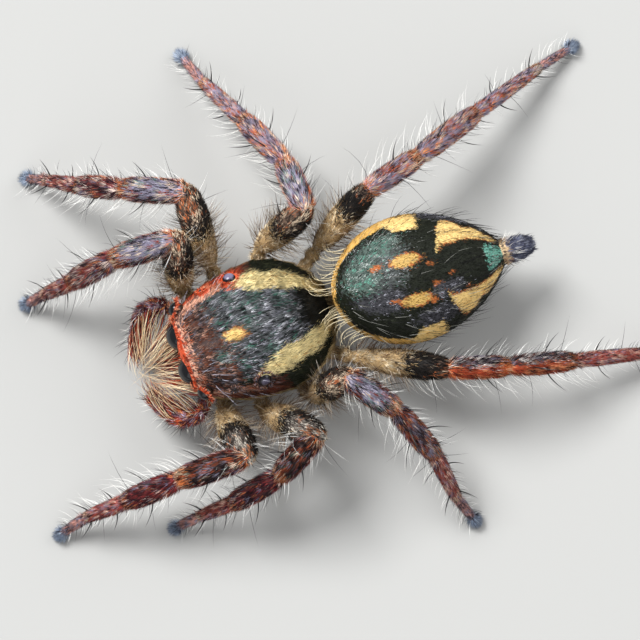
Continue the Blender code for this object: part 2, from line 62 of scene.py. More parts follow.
MM = 0.001
FRONT_EYE = (0.41, -1.46, 2.06)
low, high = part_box("eye_am_l")
SHIFT = np.array((low + high) / 2) / MM - np.array(FRONT_EYE)
print("shift in mm", SHIFT.round(4))

# %% [markdown]
# The camera comes first, so that every later step can be looked at from the
# photograph's side. The picture was taken from almost straight above with a macro
# lens: the camera stands 90 mm over the spider and leans a little to its left side.
# A camera is easiest to place by its three axes, the picture's right, its up and the
# way back from what it sees, which become the columns of a rotation matrix.

# %% Camera
CAMERA_DISTANCE = 90.0
CAMERA_LEAN = math.radians(5.5)
PIXELS_PER_MM = 44.1
PICTURE_SIDE = 640
SENSOR_WIDTH = 36.0
NEAREST_SEEN = 0.005
FARTHEST_SEEN = 2.0
AIM = Vector((0.3275, 1.6337, 2.2)) + Vector(SHIFT)
PICTURE_RIGHT = Vector((0.336, 0.942, 0.0))


def put_in_scene(name, data):
    """Make an object of some data, put it in the scene and return it."""
    thing = bpy.data.objects.new(name, data)
    bpy.context.scene.collection.objects.link(thing)
    return thing


def place_camera():
    """Make the camera at the photograph's distance, lean and turn."""
    back = Vector((math.sin(CAMERA_LEAN), 0.0, math.cos(CAMERA_LEAN)))
    right = (PICTURE_RIGHT - back * PICTURE_RIGHT.dot(back)).normalized()
    up = back.cross(right)
    data = bpy.data.cameras.new("camera")
    data.sensor_width = SENSOR_WIDTH
    data.lens = SENSOR_WIDTH * CAMERA_DISTANCE / (PICTURE_SIDE / PIXELS_PER_MM)
    data.clip_start = NEAREST_SEEN
    data.clip_end = FARTHEST_SEEN
    camera = put_in_scene("camera", data)
    turn = Matrix((right, up, back)).transposed().to_4x4()
    camera.matrix_world = Matrix.Translation((AIM + back * CAMERA_DISTANCE) * MM) @ turn
    bpy.context.scene.camera = camera
    print("lens", round(data.lens, 1), "mm")


place_camera()

# %% [markdown]
# The driving sizes of the body come next, in millimetres. They are the same sizes
# that the solids were made from, so the skin lies just inside the solids and the
# coat fills the rest.

# %% Sizes of head, chest and abdomen
# Place along, half width, height of the top, squareness
SHIELD = np.array((
    (-1.62, 0.70, 2.30, 0.60), (-1.55, 0.93, 2.42, 0.54), (-1.38, 1.08, 2.52, 0.50),
    (-1.05, 1.24, 2.65, 0.52), (-0.60, 1.42, 2.80, 0.54), (0.00, 1.54, 2.90, 0.56),
    (0.55, 1.57, 2.92, 0.62), (1.00, 1.47, 2.78, 0.72), (1.40, 1.26, 2.44, 0.82),
    (1.72, 0.96, 2.04, 0.90), (1.92, 0.62, 1.70, 0.95), (2.02, 0.30, 1.50, 1.00),
))
MARGIN_HEIGHT = 1.36
MARGIN_DEPTH = 0.10
ABDOMEN_FRONT = np.array((-0.02, 2.06, 1.84))
ABDOMEN_LENGTH = 4.10
ABDOMEN_WIDTH = 1.50
ABDOMEN_HEIGHT = 1.14
ABDOMEN_DROP = 0.34
ABDOMEN_YAW = math.radians(3.0)
ABDOMEN_SKEW = 0.85
ABDOMEN_FULLNESS = 0.57
SPINNERET_LENGTH = 0.72
SPINNERET_RADIUS = 0.26
# Across, up, share of the length
SPINNERETS = ((-0.13, 0.06, 1.0), (0.13, 0.06, 1.0), (-0.10, -0.12, 0.8), (0.10, -0.12, 0.8))
# Name, centre, radius, the way it looks
EYES = (
    ("am", (0.41, -1.46, 2.06), 0.345, (0.10, -1.0, 0.10)),
    ("al", (0.99, -1.36, 2.13), 0.185, (0.55, -0.80, 0.20)),
    ("pm", (1.16, -0.70, 2.40), 0.060, (0.85, -0.20, 0.50)),
    ("pl", (1.17, 0.00, 2.51), 0.175, (0.75, 0.10, 0.65)),
)
print("shield", round(SHIELD[-1, 0] - SHIELD[0, 0], 2), "mm, abdomen", ABDOMEN_LENGTH, "mm long")

# %% Sizes of the legs, feelers and jaws
# Name: place of the hip, then headings, rises and lengths of the five segments
LEGS = {
    "leg_r1": ((-1.50, -1.13), (107, 4, -4, 3, -1), (59, -15, -36, -48, -50),
               (1.93, 1.54, 1.38, 1.12, 0.72)),
    "leg_l1": ((1.40, -1.16), (99, -1, 1, 0, 11), (39, -12, -24, -30, -32),
               (1.66, 1.69, 1.45, 1.19, 0.82)),
    "leg_r2": ((-1.80, -0.34), (93, 24, 29, 35, 33), (46, -11, -37, -46, -49),
               (2.29, 1.53, 1.33, 1.24, 0.76)),
    "leg_l2": ((1.74, -0.28), (134, 27, 8, -1, 4), (43, -21, -33, -36, -33),
               (1.96, 1.37, 1.48, 1.03, 0.72)),
    "leg_r3": ((-1.80, 0.84), (166, 86, 67, 65, 71), (42, -11, -26, -30, -26),
               (1.83, 1.29, 1.61, 1.61, 0.92)),
    "leg_l3": ((1.82, 0.86), (184, 127, 112, 98, 111), (57, -6, -28, -42, -38),
               (1.67, 1.36, 1.49, 1.41, 0.78)),
    "leg_r4": ((-1.38, 2.12), (154, 165, 160, 161, 165), (32, -8, -21, -23, -19),
               (1.98, 1.44, 1.85, 2.05, 0.92)),
    "leg_l4": ((1.28, 2.06), (152, 163, 167, 168, 168), (20, -6, -20, -22, -18),
               (2.33, 1.42, 1.60, 1.91, 0.90)),
}
HIP_HEIGHT = 1.02
COXA_ROOTS = ((0.68, -0.72), (0.74, -0.16), (0.74, 0.46), (0.60, 1.10))
COXA_HEIGHT = 0.94
COXA_RADIUS = 0.25
TROCHANTER_RADIUS = 0.23
# Radii of the five segments, one row for each pair of legs
LEG_RADII = (
    (0.40, 0.35, 0.32, 0.235, 0.175), (0.40, 0.34, 0.31, 0.225, 0.170),
    (0.38, 0.34, 0.31, 0.235, 0.165), (0.37, 0.31, 0.30, 0.225, 0.155),
)
TUFT_RADIUS = 0.19
TUFT_FLATNESS = 0.75
TUFT_INSET = 0.06
FOOT_HEIGHT = TUFT_RADIUS * 0.8
FEMUR_PROFILE = ((-0.05, 0.30), (0.0, 0.52), (0.18, 0.78), (0.45, 0.98),
                 (0.75, 1.0), (0.96, 0.84), (1.08, 0.36), (1.12, 0.10))
SEGMENT_PROFILE = ((-0.11, 0.10), (-0.07, 0.34), (0.0, 0.74), (0.16, 0.93), (0.45, 1.0),
                   (0.78, 0.97), (0.97, 0.80), (1.06, 0.36), (1.10, 0.10))
SLIM_PROFILE = ((-0.12, 0.10), (-0.06, 0.50), (0.0, 0.94), (0.3, 1.0), (0.7, 0.90),
                (0.97, 0.80), (1.05, 0.36), (1.09, 0.10))
JAW_PROFILE = ((-0.05, 0.35), (0.0, 0.6), (0.3, 0.86), (0.7, 1.0), (0.95, 0.86),
               (1.02, 0.5))
FANG_PROFILE = ((-0.05, 0.6), (0.0, 1.0), (0.6, 0.6), (1.0, 0.12))
TAIL_PROFILE = ((-0.05, 0.8), (0.0, 1.0), (0.3, 1.06), (0.65, 0.98), (0.88, 0.76), (1.0, 0.30))
PALP_JOINTS = ((0.80, -1.30, 0.98), (1.28, -1.58, 1.12), (1.40, -1.98, 1.24),
               (1.12, -2.32, 1.00), (0.52, -2.62, 0.52))
PALP_RADII = (0.18, 0.22, 0.25, 0.23)
JAW_TOP = (0.375, -1.52, 1.10)
JAW_TIP = (0.30, -1.80, 0.32)
JAW_RADIUS = 0.345
FANG_ROOT = (0.10, 0.02, 0.06)
FANG_TIP = (-0.12, 0.10, -0.06)
FANG_RADIUS = 0.07
FUR_DEPTH = 0.055
SHORT_FUR_DEPTH = 0.035
print("leg lengths in mm", [round(sum(row[3]), 1) for row in LEGS.values()])

# %% [markdown]
# Each form of the body is written as a surface rule: give it how far along (u, from
# 0 to 1) and how far round (v, from 0 to 1), and it returns points. The forms could be
# sculpted by hand, but a rule does more: it makes the skin's grid, and it tells every
# hair where its root is, which way is out and which way the coat lies. A tube serves
# the legs, a dome the shield, an egg the abdomen and a ball the joints.

# %% Surface rules
UPRIGHT = 0.97
CORNER_REACH = 0.06
CORNER_SAMPLES = 7
THINNEST = 0.03


def unit(rows):
    """Return rows of vectors at length one."""
    return rows / np.maximum(np.linalg.norm(rows, axis=-1, keepdims=True), 1e-9)


def axes_along(direction):
    """Return the sideways and upward unit vectors that go with a direction."""
    ahead = unit(np.array(direction, float))
    hint = np.array((0.0, 0.0, 1.0))
    if abs(ahead[2]) > UPRIGHT:
        hint = np.array((0.0, -1.0, 0.0))
    side = unit(np.cross(ahead, hint))
    return side, unit(np.cross(side, ahead))


def swell(profile, along):
    """Read a profile of (place, share) pairs with its corners rounded off."""
    places, shares = zip(*profile)
    reach = np.linspace(-CORNER_REACH, CORNER_REACH, CORNER_SAMPLES)
    return np.mean([np.interp(along + r, places, shares) for r in reach], axis=0)


def tube(start, end, radius, profile, deep=1.0, bow=0.0, inset=FUR_DEPTH):
    """Return the rule of a swelling tube between two points."""
    start = np.array(start, float)
    axis = np.array(end, float) - start
    side, up = axes_along(axis)
    first, last = profile[0][0], profile[-1][0]

    def place(u, v):
        along = first + (last - first) * u
        width = np.maximum(radius * swell(profile, along) - inset, THINNEST)[:, None]
        turn = (2 * math.pi * v)[:, None]
        rise = (bow * 4 * along * (1 - along))[:, None]
        centre = start + along[:, None] * axis + rise * up
        return centre + width * (-np.cos(turn) * side + deep * np.sin(turn) * up)

    return place


def ball(centre, radii, inset=FUR_DEPTH, axis=(0, 0, 1)):
    """Return the rule of an ellipsoid, with u running along the axis."""
    centre = np.array(centre, float)
    radii = np.array(radii, float) - inset
    side, up = axes_along(axis)
    ahead = unit(np.array(axis, float))

    def place(u, v):
        polar = (math.pi * (1.0 - u))[:, None]
        turn = (2 * math.pi * v)[:, None]
        around = -np.cos(turn) * side + np.sin(turn) * up
        return centre + radii * (np.sin(polar) * around + np.cos(polar) * ahead)

    return place


# %% Rules of the shield and the abdomen
DOME_POWER = 0.62
DOME_SQUARENESS = 0.3
END_MARGIN = 0.02


def shield_at(y):
    """Return the shield's half width, top height and squareness at y."""
    return [np.interp(y, SHIELD[:, 0], SHIELD[:, k]) for k in (1, 2, 3)]


def shield(u, v):
    """Return points of the shield, u from front to back."""
    y = SHIELD[0, 0] + (SHIELD[-1, 0] - SHIELD[0, 0]) * u
    half, top, square = shield_at(y)
    across = -np.cos(2 * math.pi * v)
    upward = np.sin(2 * math.pi * v)
    x = (half - SHORT_FUR_DEPTH) * np.sign(across) * np.abs(across) ** square
    power = DOME_POWER + DOME_SQUARENESS * square
    dome = (top - SHORT_FUR_DEPTH - MARGIN_HEIGHT) * np.abs(upward) ** power
    z = MARGIN_HEIGHT + np.where(upward >= 0, dome, MARGIN_DEPTH * upward)
    return np.stack((x, y, z), axis=1)


PITCH = math.atan2(ABDOMEN_DROP, ABDOMEN_LENGTH)
BACKWARD = np.array((math.sin(ABDOMEN_YAW) * math.cos(PITCH),
                     math.cos(ABDOMEN_YAW) * math.cos(PITCH), -math.sin(PITCH)))
BACK_SIDE, BACK_UP = axes_along(BACKWARD)


def abdomen(u, v):
    """Return points of the abdomen, u from front to back."""
    along = 0.5 - 0.5 * np.cos(math.pi * (END_MARGIN + (1 - 2 * END_MARGIN) * u))
    share = (np.sin(math.pi * along ** ABDOMEN_SKEW) ** ABDOMEN_FULLNESS)[:, None]
    turn = (2 * math.pi * v)[:, None]
    centre = ABDOMEN_FRONT + BACKWARD * (ABDOMEN_LENGTH * along)[:, None]
    width = ABDOMEN_WIDTH * share - SHORT_FUR_DEPTH
    height = ABDOMEN_HEIGHT * share - SHORT_FUR_DEPTH
    return centre - BACK_SIDE * width * np.cos(turn) + BACK_UP * height * np.sin(turn)


# %% [markdown]
# A small record ties a surface rule to its place on the animal: which part it is,
# which side it is on, and where it comes along its leg. Everything that follows, the
# skin, the markings and the coat, reads these records.

# %% The record of a form
PROBE = 0.004


class Form:
    """A surface rule with the part that it belongs to."""

    def __init__(self, part, rule, step=0, side=1, cells=(24, 24), owner=""):
        self.part = part
        self.rule = rule
        self.step = step
        self.side = side
        self.cells = cells
        self.owner = owner

    def shape(self, u, v):
        """Return points, outward normals, the way along and the area of one cell."""
        ahead = self.rule(np.minimum(u + PROBE, 1), v) - self.rule(np.maximum(u - PROBE, 0), v)
        around = self.rule(u, v + PROBE) - self.rule(u, v - PROBE)
        out = np.cross(around, ahead)
        return self.rule(u, v), unit(out), unit(ahead), np.linalg.norm(out, axis=1)


def mirrored(place, side):
    """Return a place given on the left side, on the right side when side is -1."""
    return (side * place[0], place[1], place[2])


# %% [markdown]
# A spider's leg has seven segments: two short ones at the body, then thigh, knee and
# shin, and two slim ones to the foot. It is built as a chain: each segment has a
# heading, a rise and a length, read from the photograph, and the next one starts where
# it ends. The chain rarely ends at the floor by itself, so the slack is shared out over
# its joints. Bones of an armature could bend it too, but this model keeps one pose.

# %% Forms of the legs
COXA_REACH = 0.72
TROCHANTER_PLACE = 0.84


def side_of(name):
    """Return 1 for a leg of the left side and -1 for one of the right."""
    return -1 if "_r" in name else 1


def leg_joints(name):
    """Return a leg's joints from the hip to the foot."""
    (x, y), headings, rises, lengths = LEGS[name]
    side = side_of(name)
    joints = [np.array((x, y, HIP_HEIGHT))]
    for heading, rise, length in zip(headings, rises, lengths):
        turn = math.radians(heading)
        lift = math.radians(rise)
        step = np.array((side * math.sin(turn) * math.cos(lift),
                         -math.cos(turn) * math.cos(lift), math.sin(lift)))
        joints.append(joints[-1] + step * length)
    slack = joints[-1][2] - FOOT_HEIGHT
    for k in range(1, 6):
        joints[k][2] -= slack * k / 5.0
    return joints


def leg_forms(name):
    """Return the forms of one leg from its root to its foot."""
    side = side_of(name)
    pair = int(name[-1]) - 1
    joints = leg_joints(name)
    radii = LEG_RADII[pair]
    root = np.array((side * COXA_ROOTS[pair][0], COXA_ROOTS[pair][1], COXA_HEIGHT))
    hip = joints[0]
    forms = [
        Form("coxa", tube(root, root + (hip - root) * COXA_REACH, COXA_RADIUS, SLIM_PROFILE),
             -2, side, (12, 20), name),
        Form("coxa", ball(root + (hip - root) * TROCHANTER_PLACE, (TROCHANTER_RADIUS,) * 3),
             -1, side, (14, 20), name),
        Form("femur", tube(hip, joints[1], radii[0], FEMUR_PROFILE, 1.06, 0.05), 0, side,
             (40, 28), name),
    ]
    profiles = (SEGMENT_PROFILE, SEGMENT_PROFILE, SLIM_PROFILE, SLIM_PROFILE)
    parts = ("patella", "tibia", "metatarsus", "tarsus")
    for k, (part, profile) in enumerate(zip(parts, profiles), start=1):
        forms.append(Form(part, tube(joints[k], joints[k + 1], radii[k], profile), k, side,
                          (30, 24), name))
    foot = joints[5]
    tuft = ball(foot, (TUFT_RADIUS, TUFT_RADIUS, TUFT_RADIUS * TUFT_FLATNESS), TUFT_INSET,
                foot - joints[4])
    forms.append(Form("claw", tuft, 5, side, (12, 18), name))
    return forms


# %% Forms of the face
def face_forms():
    """Return the feelers and jaws of both sides."""
    forms = []
    for side in (-1, 1):
        joints = [mirrored(place, side) for place in PALP_JOINTS]
        for k, radius in enumerate(PALP_RADII):
            feeler = tube(joints[k], joints[k + 1], radius, SEGMENT_PROFILE, inset=0.05)
            forms.append(Form("palp", feeler, k, side, (20, 22), "palps"))
        tip = mirrored(JAW_TIP, side)
        jaw = tube(tip, mirrored(JAW_TOP, side), JAW_RADIUS, JAW_PROFILE, inset=0.01)
        forms.append(Form("jaw", jaw, 0, side, (24, 26), "jaws"))
        root, point = (np.array(tip) + mirrored(step, side) for step in (FANG_ROOT, FANG_TIP))
        fang = tube(root, point, FANG_RADIUS, FANG_PROFILE, inset=0.0)
        forms.append(Form("jaw", fang, 1, side, (12, 12), "jaws"))
    return forms


# %% [markdown]
# Below the shield lie the chest plate, the lip, a core that joins them to the shield,
# and the stalk that carries the abdomen. The spinnerets at the tail are a short tube
# with four finger-like ones in it.

# %% Forms of the trunk
# Place, radii, inset, cells
CHEST_BALLS = (
    ((0.0, 0.22, 0.89), (0.50, 1.15, 0.21), 0.03, (20, 30)),
    ((0.0, -0.98, 0.87), (0.17, 0.30, 0.12), 0.01, (12, 16)),
)
# Start, end, radius, profile, cells
CHEST_TUBES = (
    ((0, 0.3, 0.89), (0, 0.3, 1.34), 0.34, ((0.0, 1.0), (1.0, 0.9)), (8, 20)),
    ((0, 1.55, 0.98), (0, 2.40, 1.38), 0.15, ((0.0, 0.9), (1.0, 1.0)), (8, 16)),
)
MOUTH_LOBE = (0.36, -1.10, 0.89)
MOUTH_LOBE_RADII = (0.20, 0.42, 0.16)
SPINNERET_OVERLAP = 0.10


def chest_forms():
    """Return chest plate, lip, core, stalk and the two lobes beside the lip."""
    forms = [Form("chest", ball(place, radii, inset), cells=cells, owner="chest")
             for place, radii, inset, cells in CHEST_BALLS]
    forms += [Form("chest", tube(start, end, radius, profile, inset=0.02), cells=cells,
                   owner="chest")
              for start, end, radius, profile, cells in CHEST_TUBES]
    forms += [Form("chest", ball(mirrored(MOUTH_LOBE, side), MOUTH_LOBE_RADII, 0.01),
                   side=side, cells=(14, 18), owner="chest") for side in (-1, 1)]
    return forms


def tail_forms():
    """Return the short tube of the tail and the four spinnerets in it."""
    root = ABDOMEN_FRONT + BACKWARD * (ABDOMEN_LENGTH - SPINNERET_OVERLAP)
    sheath = tube(root, root + BACKWARD * (SPINNERET_LENGTH + 0.04), SPINNERET_RADIUS * 1.16,
                  TAIL_PROFILE, inset=0.03)
    forms = [Form("spinneret", sheath, cells=(24, 28), owner="abdomen")]
    for across, height, share in SPINNERETS:
        place = root + BACK_SIDE * across + BACK_UP * height
        end = place + BACKWARD * SPINNERET_LENGTH * (0.55 + 0.4 * share)
        finger = tube(place, end, SPINNERET_RADIUS * 0.42, SLIM_PROFILE, inset=0.02)
        forms.append(Form("spinneret", finger, 1, cells=(18, 14), owner="abdomen"))
    return forms


def trunk_forms():
    """Return shield, abdomen, chest and tail."""
    forms = [
        Form("shield", shield, cells=(90, 120), owner="head"),
        Form("abdomen", abdomen, cells=(90, 96), owner="abdomen"),
    ]
    return forms + chest_forms() + tail_forms()


FORMS = trunk_forms() + face_forms() + [form for name in LEGS for form in leg_forms(name)]
print("forms:", len(FORMS))

# %% [markdown]
# The markings are rules too, so that skin and coat can carry the same ones. Each rule
# names the zone that a point lies in. A zone is a small palette: the skin takes mostly
# its commonest colour, darkened as painted shade between the hairs, and each hair takes
# one of its colours. That mixture of plain hairs is how the real coat makes its streaks.

# %% Palettes of the zones: share, then colour
PALETTES = {
    "head grey": ((0.42, (0.007, 0.008, 0.008)), (0.17, (0.10, 0.105, 0.11)),
                  (0.20, (0.38, 0.38, 0.44)), (0.12, (0.86, 0.86, 0.92)),
                  (0.09, (0.10, 0.30, 0.22))),
    "head green": ((0.36, (0.13, 0.31, 0.24)), (0.38, (0.010, 0.014, 0.012)),
                   (0.26, (0.46, 0.50, 0.50))),
    "head brown": ((0.28, (0.20, 0.065, 0.035)), (0.40, (0.014, 0.010, 0.010)),
                   (0.16, (0.60, 0.34, 0.25)), (0.16, (0.24, 0.23, 0.28))),
    "head cream": ((0.84, (1.00, 0.83, 0.42)), (0.11, (0.66, 0.38, 0.12)),
                   (0.05, (0.03, 0.022, 0.014))),
    "fovea": ((0.75, (0.88, 0.62, 0.22)), (0.25, (0.75, 0.36, 0.10))),
    "halo": ((0.55, (0.42, 0.17, 0.06)), (0.45, (0.03, 0.02, 0.02))),
    "head red": ((0.48, (0.72, 0.085, 0.022)), (0.20, (1.00, 0.42, 0.24)),
                 (0.32, (0.11, 0.016, 0.012))),
    "head pink": ((0.38, (0.90, 0.50, 0.35)), (0.30, (0.58, 0.14, 0.055)),
                  (0.32, (0.10, 0.08, 0.09))),
    "head flank": ((0.80, (0.013, 0.016, 0.008)), (0.20, (0.05, 0.055, 0.028))),
    "head low": ((0.45, (0.17, 0.035, 0.018)), (0.40, (0.025, 0.014, 0.010)),
                 (0.15, (0.36, 0.20, 0.11))),
    "head rear": ((0.92, (0.008, 0.009, 0.008)), (0.08, (0.06, 0.06, 0.05))),
    "rim": ((0.75, (0.72, 0.54, 0.27)), (0.25, (0.30, 0.20, 0.09))),
    "clypeus": ((0.34, (0.40, 0.09, 0.035)), (0.20, (0.05, 0.02, 0.015)),
                (0.46, (0.90, 0.74, 0.50))),
    "black": ((0.88, (0.007, 0.009, 0.004)), (0.12, (0.080, 0.090, 0.060))),
    "yellow": ((0.82, (1.00, 0.70, 0.27)), (0.18, (0.60, 0.30, 0.06))),
    "spot": ((0.60, (0.66, 0.42, 0.12)), (0.28, (0.40, 0.20, 0.04)), (0.12, (1.00, 0.76, 0.38))),
    "gold": ((0.60, (0.84, 0.50, 0.13)), (0.22, (0.55, 0.27, 0.05)), (0.18, (1.00, 0.74, 0.34))),
    "orange": ((0.70, (0.46, 0.12, 0.03)), (0.30, (0.55, 0.28, 0.07))),
    # The green scales and grey scales carry painted sheen as well as their own colour.
    "green scales and sheen": ((0.28, (0.20, 0.58, 0.44)), (0.26, (0.80, 0.86, 0.82)),
                     (0.46, (0.005, 0.008, 0.005))),
    "green tip": ((0.50, (0.18, 0.54, 0.42)), (0.18, (0.70, 0.78, 0.74)),
                  (0.32, (0.006, 0.012, 0.009))),
    "grey scales and sheen": ((0.26, (0.80, 0.82, 0.84)), (0.11, (0.20, 0.46, 0.36)),
                    (0.63, (0.004, 0.005, 0.004))),
    "lilac scales": ((0.20, (0.80, 0.80, 0.92)), (0.80, (0.004, 0.004, 0.005))),
    "belly": ((0.60, (0.10, 0.08, 0.055)), (0.40, (0.03, 0.028, 0.022))),
    "tail": ((0.45, (0.13, 0.14, 0.22)), (0.25, (0.34, 0.36, 0.44)), (0.30, (0.03, 0.03, 0.05))),
    "tail base": ((0.5, (0.85, 0.62, 0.36)), (0.3, (0.42, 0.18, 0.12)), (0.2, (0.10, 0.08, 0.08))),
    "tan": ((0.47, (0.60, 0.41, 0.20)), (0.25, (0.20, 0.11, 0.05)), (0.28, (1.00, 0.86, 0.62))),
    "thigh black": ((0.88, (0.012, 0.010, 0.009)), (0.12, (0.08, 0.05, 0.035))),
    "thigh pale": ((0.42, (0.95, 0.88, 0.76)), (0.12, (0.80, 0.30, 0.12)),
                   (0.46, (0.014, 0.010, 0.012))),
    "thigh top": ((0.34, (0.92, 0.74, 0.54)), (0.22, (0.66, 0.20, 0.07)),
                  (0.44, (0.014, 0.009, 0.010))),
    "knee": ((0.36, (0.40, 0.37, 0.50)), (0.12, (0.26, 0.42, 0.38)), (0.32, (0.018, 0.010, 0.020)),
             (0.07, (0.40, 0.08, 0.05)), (0.13, (1.00, 0.82, 0.64))),
    # Painted shade: a darker copy of the knee for the left front legs, away from the light.
    "knee dark": ((0.07, (0.34, 0.32, 0.42)), (0.05, (0.20, 0.36, 0.30)),
                  (0.58, (0.014, 0.007, 0.010)),
                  (0.22, (0.44, 0.10, 0.04)), (0.08, (1.00, 0.80, 0.62))),
    "ash": ((0.52, (0.014, 0.009, 0.014)), (0.20, (0.95, 0.86, 0.82)), (0.16, (0.26, 0.10, 0.08)),
            (0.12, (0.34, 0.30, 0.42))),
    "wine": ((0.30, (0.36, 0.060, 0.055)), (0.34, (0.028, 0.007, 0.016)),
             (0.20, (1.00, 0.80, 0.70)),
             (0.08, (0.36, 0.32, 0.48)), (0.08, (0.88, 0.32, 0.14))),
    # Painted shade: a darker copy of wine for the left front legs, away from the light.
    "wine dark": ((0.33, (0.30, 0.040, 0.040)), (0.48, (0.022, 0.005, 0.012)),
                  (0.08, (0.90, 0.66, 0.58)),
                  (0.05, (0.30, 0.27, 0.40)), (0.06, (0.80, 0.25, 0.10))),
    "lilac": ((0.32, (0.36, 0.32, 0.43)), (0.26, (0.020, 0.010, 0.020)), (0.20, (0.60, 0.14, 0.06)),
              (0.12, (1.00, 0.74, 0.54)), (0.10, (0.92, 0.36, 0.14))),
    # Painted shade: a darker copy of lilac for the left hind legs, away from the light.
    "lilac dark": ((0.24, (0.33, 0.30, 0.40)), (0.42, (0.020, 0.010, 0.018)),
                   (0.18, (0.52, 0.11, 0.05)),
                   (0.09, (1.00, 0.74, 0.54)), (0.07, (0.88, 0.32, 0.12))),
    "fire": ((0.50, (0.54, 0.085, 0.034)), (0.27, (0.035, 0.008, 0.012)),
             (0.23, (0.95, 0.40, 0.19))),
    "rust": ((0.34, (0.44, 0.080, 0.055)), (0.26, (0.040, 0.012, 0.020)),
             (0.22, (1.00, 0.68, 0.54)),
             (0.18, (0.36, 0.31, 0.42))),
    "ring": ((0.48, (0.88, 0.27, 0.085)), (0.26, (1.00, 0.74, 0.52)), (0.26, (0.10, 0.025, 0.018))),
    "pale ring": ((0.50, (1.00, 0.80, 0.58)), (0.26, (0.80, 0.30, 0.12)),
                  (0.24, (0.06, 0.03, 0.05))),
    "toe": ((0.36, (0.72, 0.36, 0.30)), (0.28, (0.34, 0.32, 0.42)), (0.36, (0.06, 0.035, 0.055))),
    "claw": ((0.14, (0.05, 0.055, 0.09)), (0.62, (0.27, 0.33, 0.44)), (0.24, (0.50, 0.57, 0.68))),
    "palp": ((0.29, (0.50, 0.070, 0.030)), (0.33, (0.05, 0.012, 0.026)), (0.12, (0.95, 0.38, 0.14)),
             (0.26, (0.42, 0.33, 0.42))),
    "jaw": ((1.0, (0.060, 0.020, 0.012)),),
}
ZONES = list(PALETTES)
ZONE_NUMBER = {name: k for k, name in enumerate(ZONES)}
# The skin between the hairs is painted darker by this share, as painted shade.
GAP_SHADE = 0.75
MEAN_SHARE = 0.3
print("zones:", len(ZONES))


def skin_colours(zones):
    """Return each zone's skin colour: mostly the commonest tint, partly the mean, darkened as
    painted shade.
    """
    grounds = []
    for name in ZONES:
        mean = sum(share * np.array(tint) for share, tint in PALETTES[name])
        common = np.array(max(PALETTES[name])[1])
        grounds.append(GAP_SHADE * (MEAN_SHARE * mean + (1 - MEAN_SHARE) * common))
    return np.array(grounds)[zones]


def hair_colours(zones, luck):
    """Pick one palette colour for each hair, with luck from 0 to 1."""
    picked = np.zeros((len(zones), 3))
    for number in np.unique(zones):
        rows = zones == number
        shares = np.cumsum([share for share, tint in PALETTES[ZONES[number]]])
        tints = np.array([tint for share, tint in PALETTES[ZONES[number]]])
        choice = np.minimum(np.searchsorted(shares, luck[rows]), len(tints) - 1)
        picked[rows] = tints[choice]
    return picked


# %% [markdown]
# The head's rule works from above, in millimetres: two cream bands run back from the
# hind eyes, a yellow spot lies between them, red brows line the front, and the rest is
# dark with a grey and green sheen. Each band is a centre line with a width.

# %% Markings of the head
BAND_Y = (-0.10, 0.10, 0.35, 0.60, 1.10, 1.50, 1.82, 1.96)
BAND_CENTRE = (1.08, 1.04, 1.00, 0.94, 0.83, 0.68, 0.42, 0.30)
BAND_HALF_WIDTH = (0.02, 0.12, 0.21, 0.23, 0.22, 0.19, 0.13, 0.06)
RED_Y = (-1.60, -1.35, -0.70, 0.00, 0.35)
RED_INNER = (0.80, 1.00, 1.14, 1.28, 1.50)
RED_LOW = (1.90, 1.95, 2.05, 2.20, 2.50)
MARGIN_BAND = 0.32
FOVEA = (0.05, -0.31)
FOVEA_SIZE = (0.13, 0.22)
# Place across, place along, radius
GREEN_SPOTS = ((-0.62, 0.36, 0.13), (-0.10, 0.02, 0.15), (0.42, -0.75, 0.13), (0.66, 0.36, 0.12),
               (-0.80, -0.20, 0.14), (-0.45, 0.95, 0.10))


def paint(zones, where, name):
    """Set the zone of the chosen points."""
    zones[where] = ZONE_NUMBER[name]


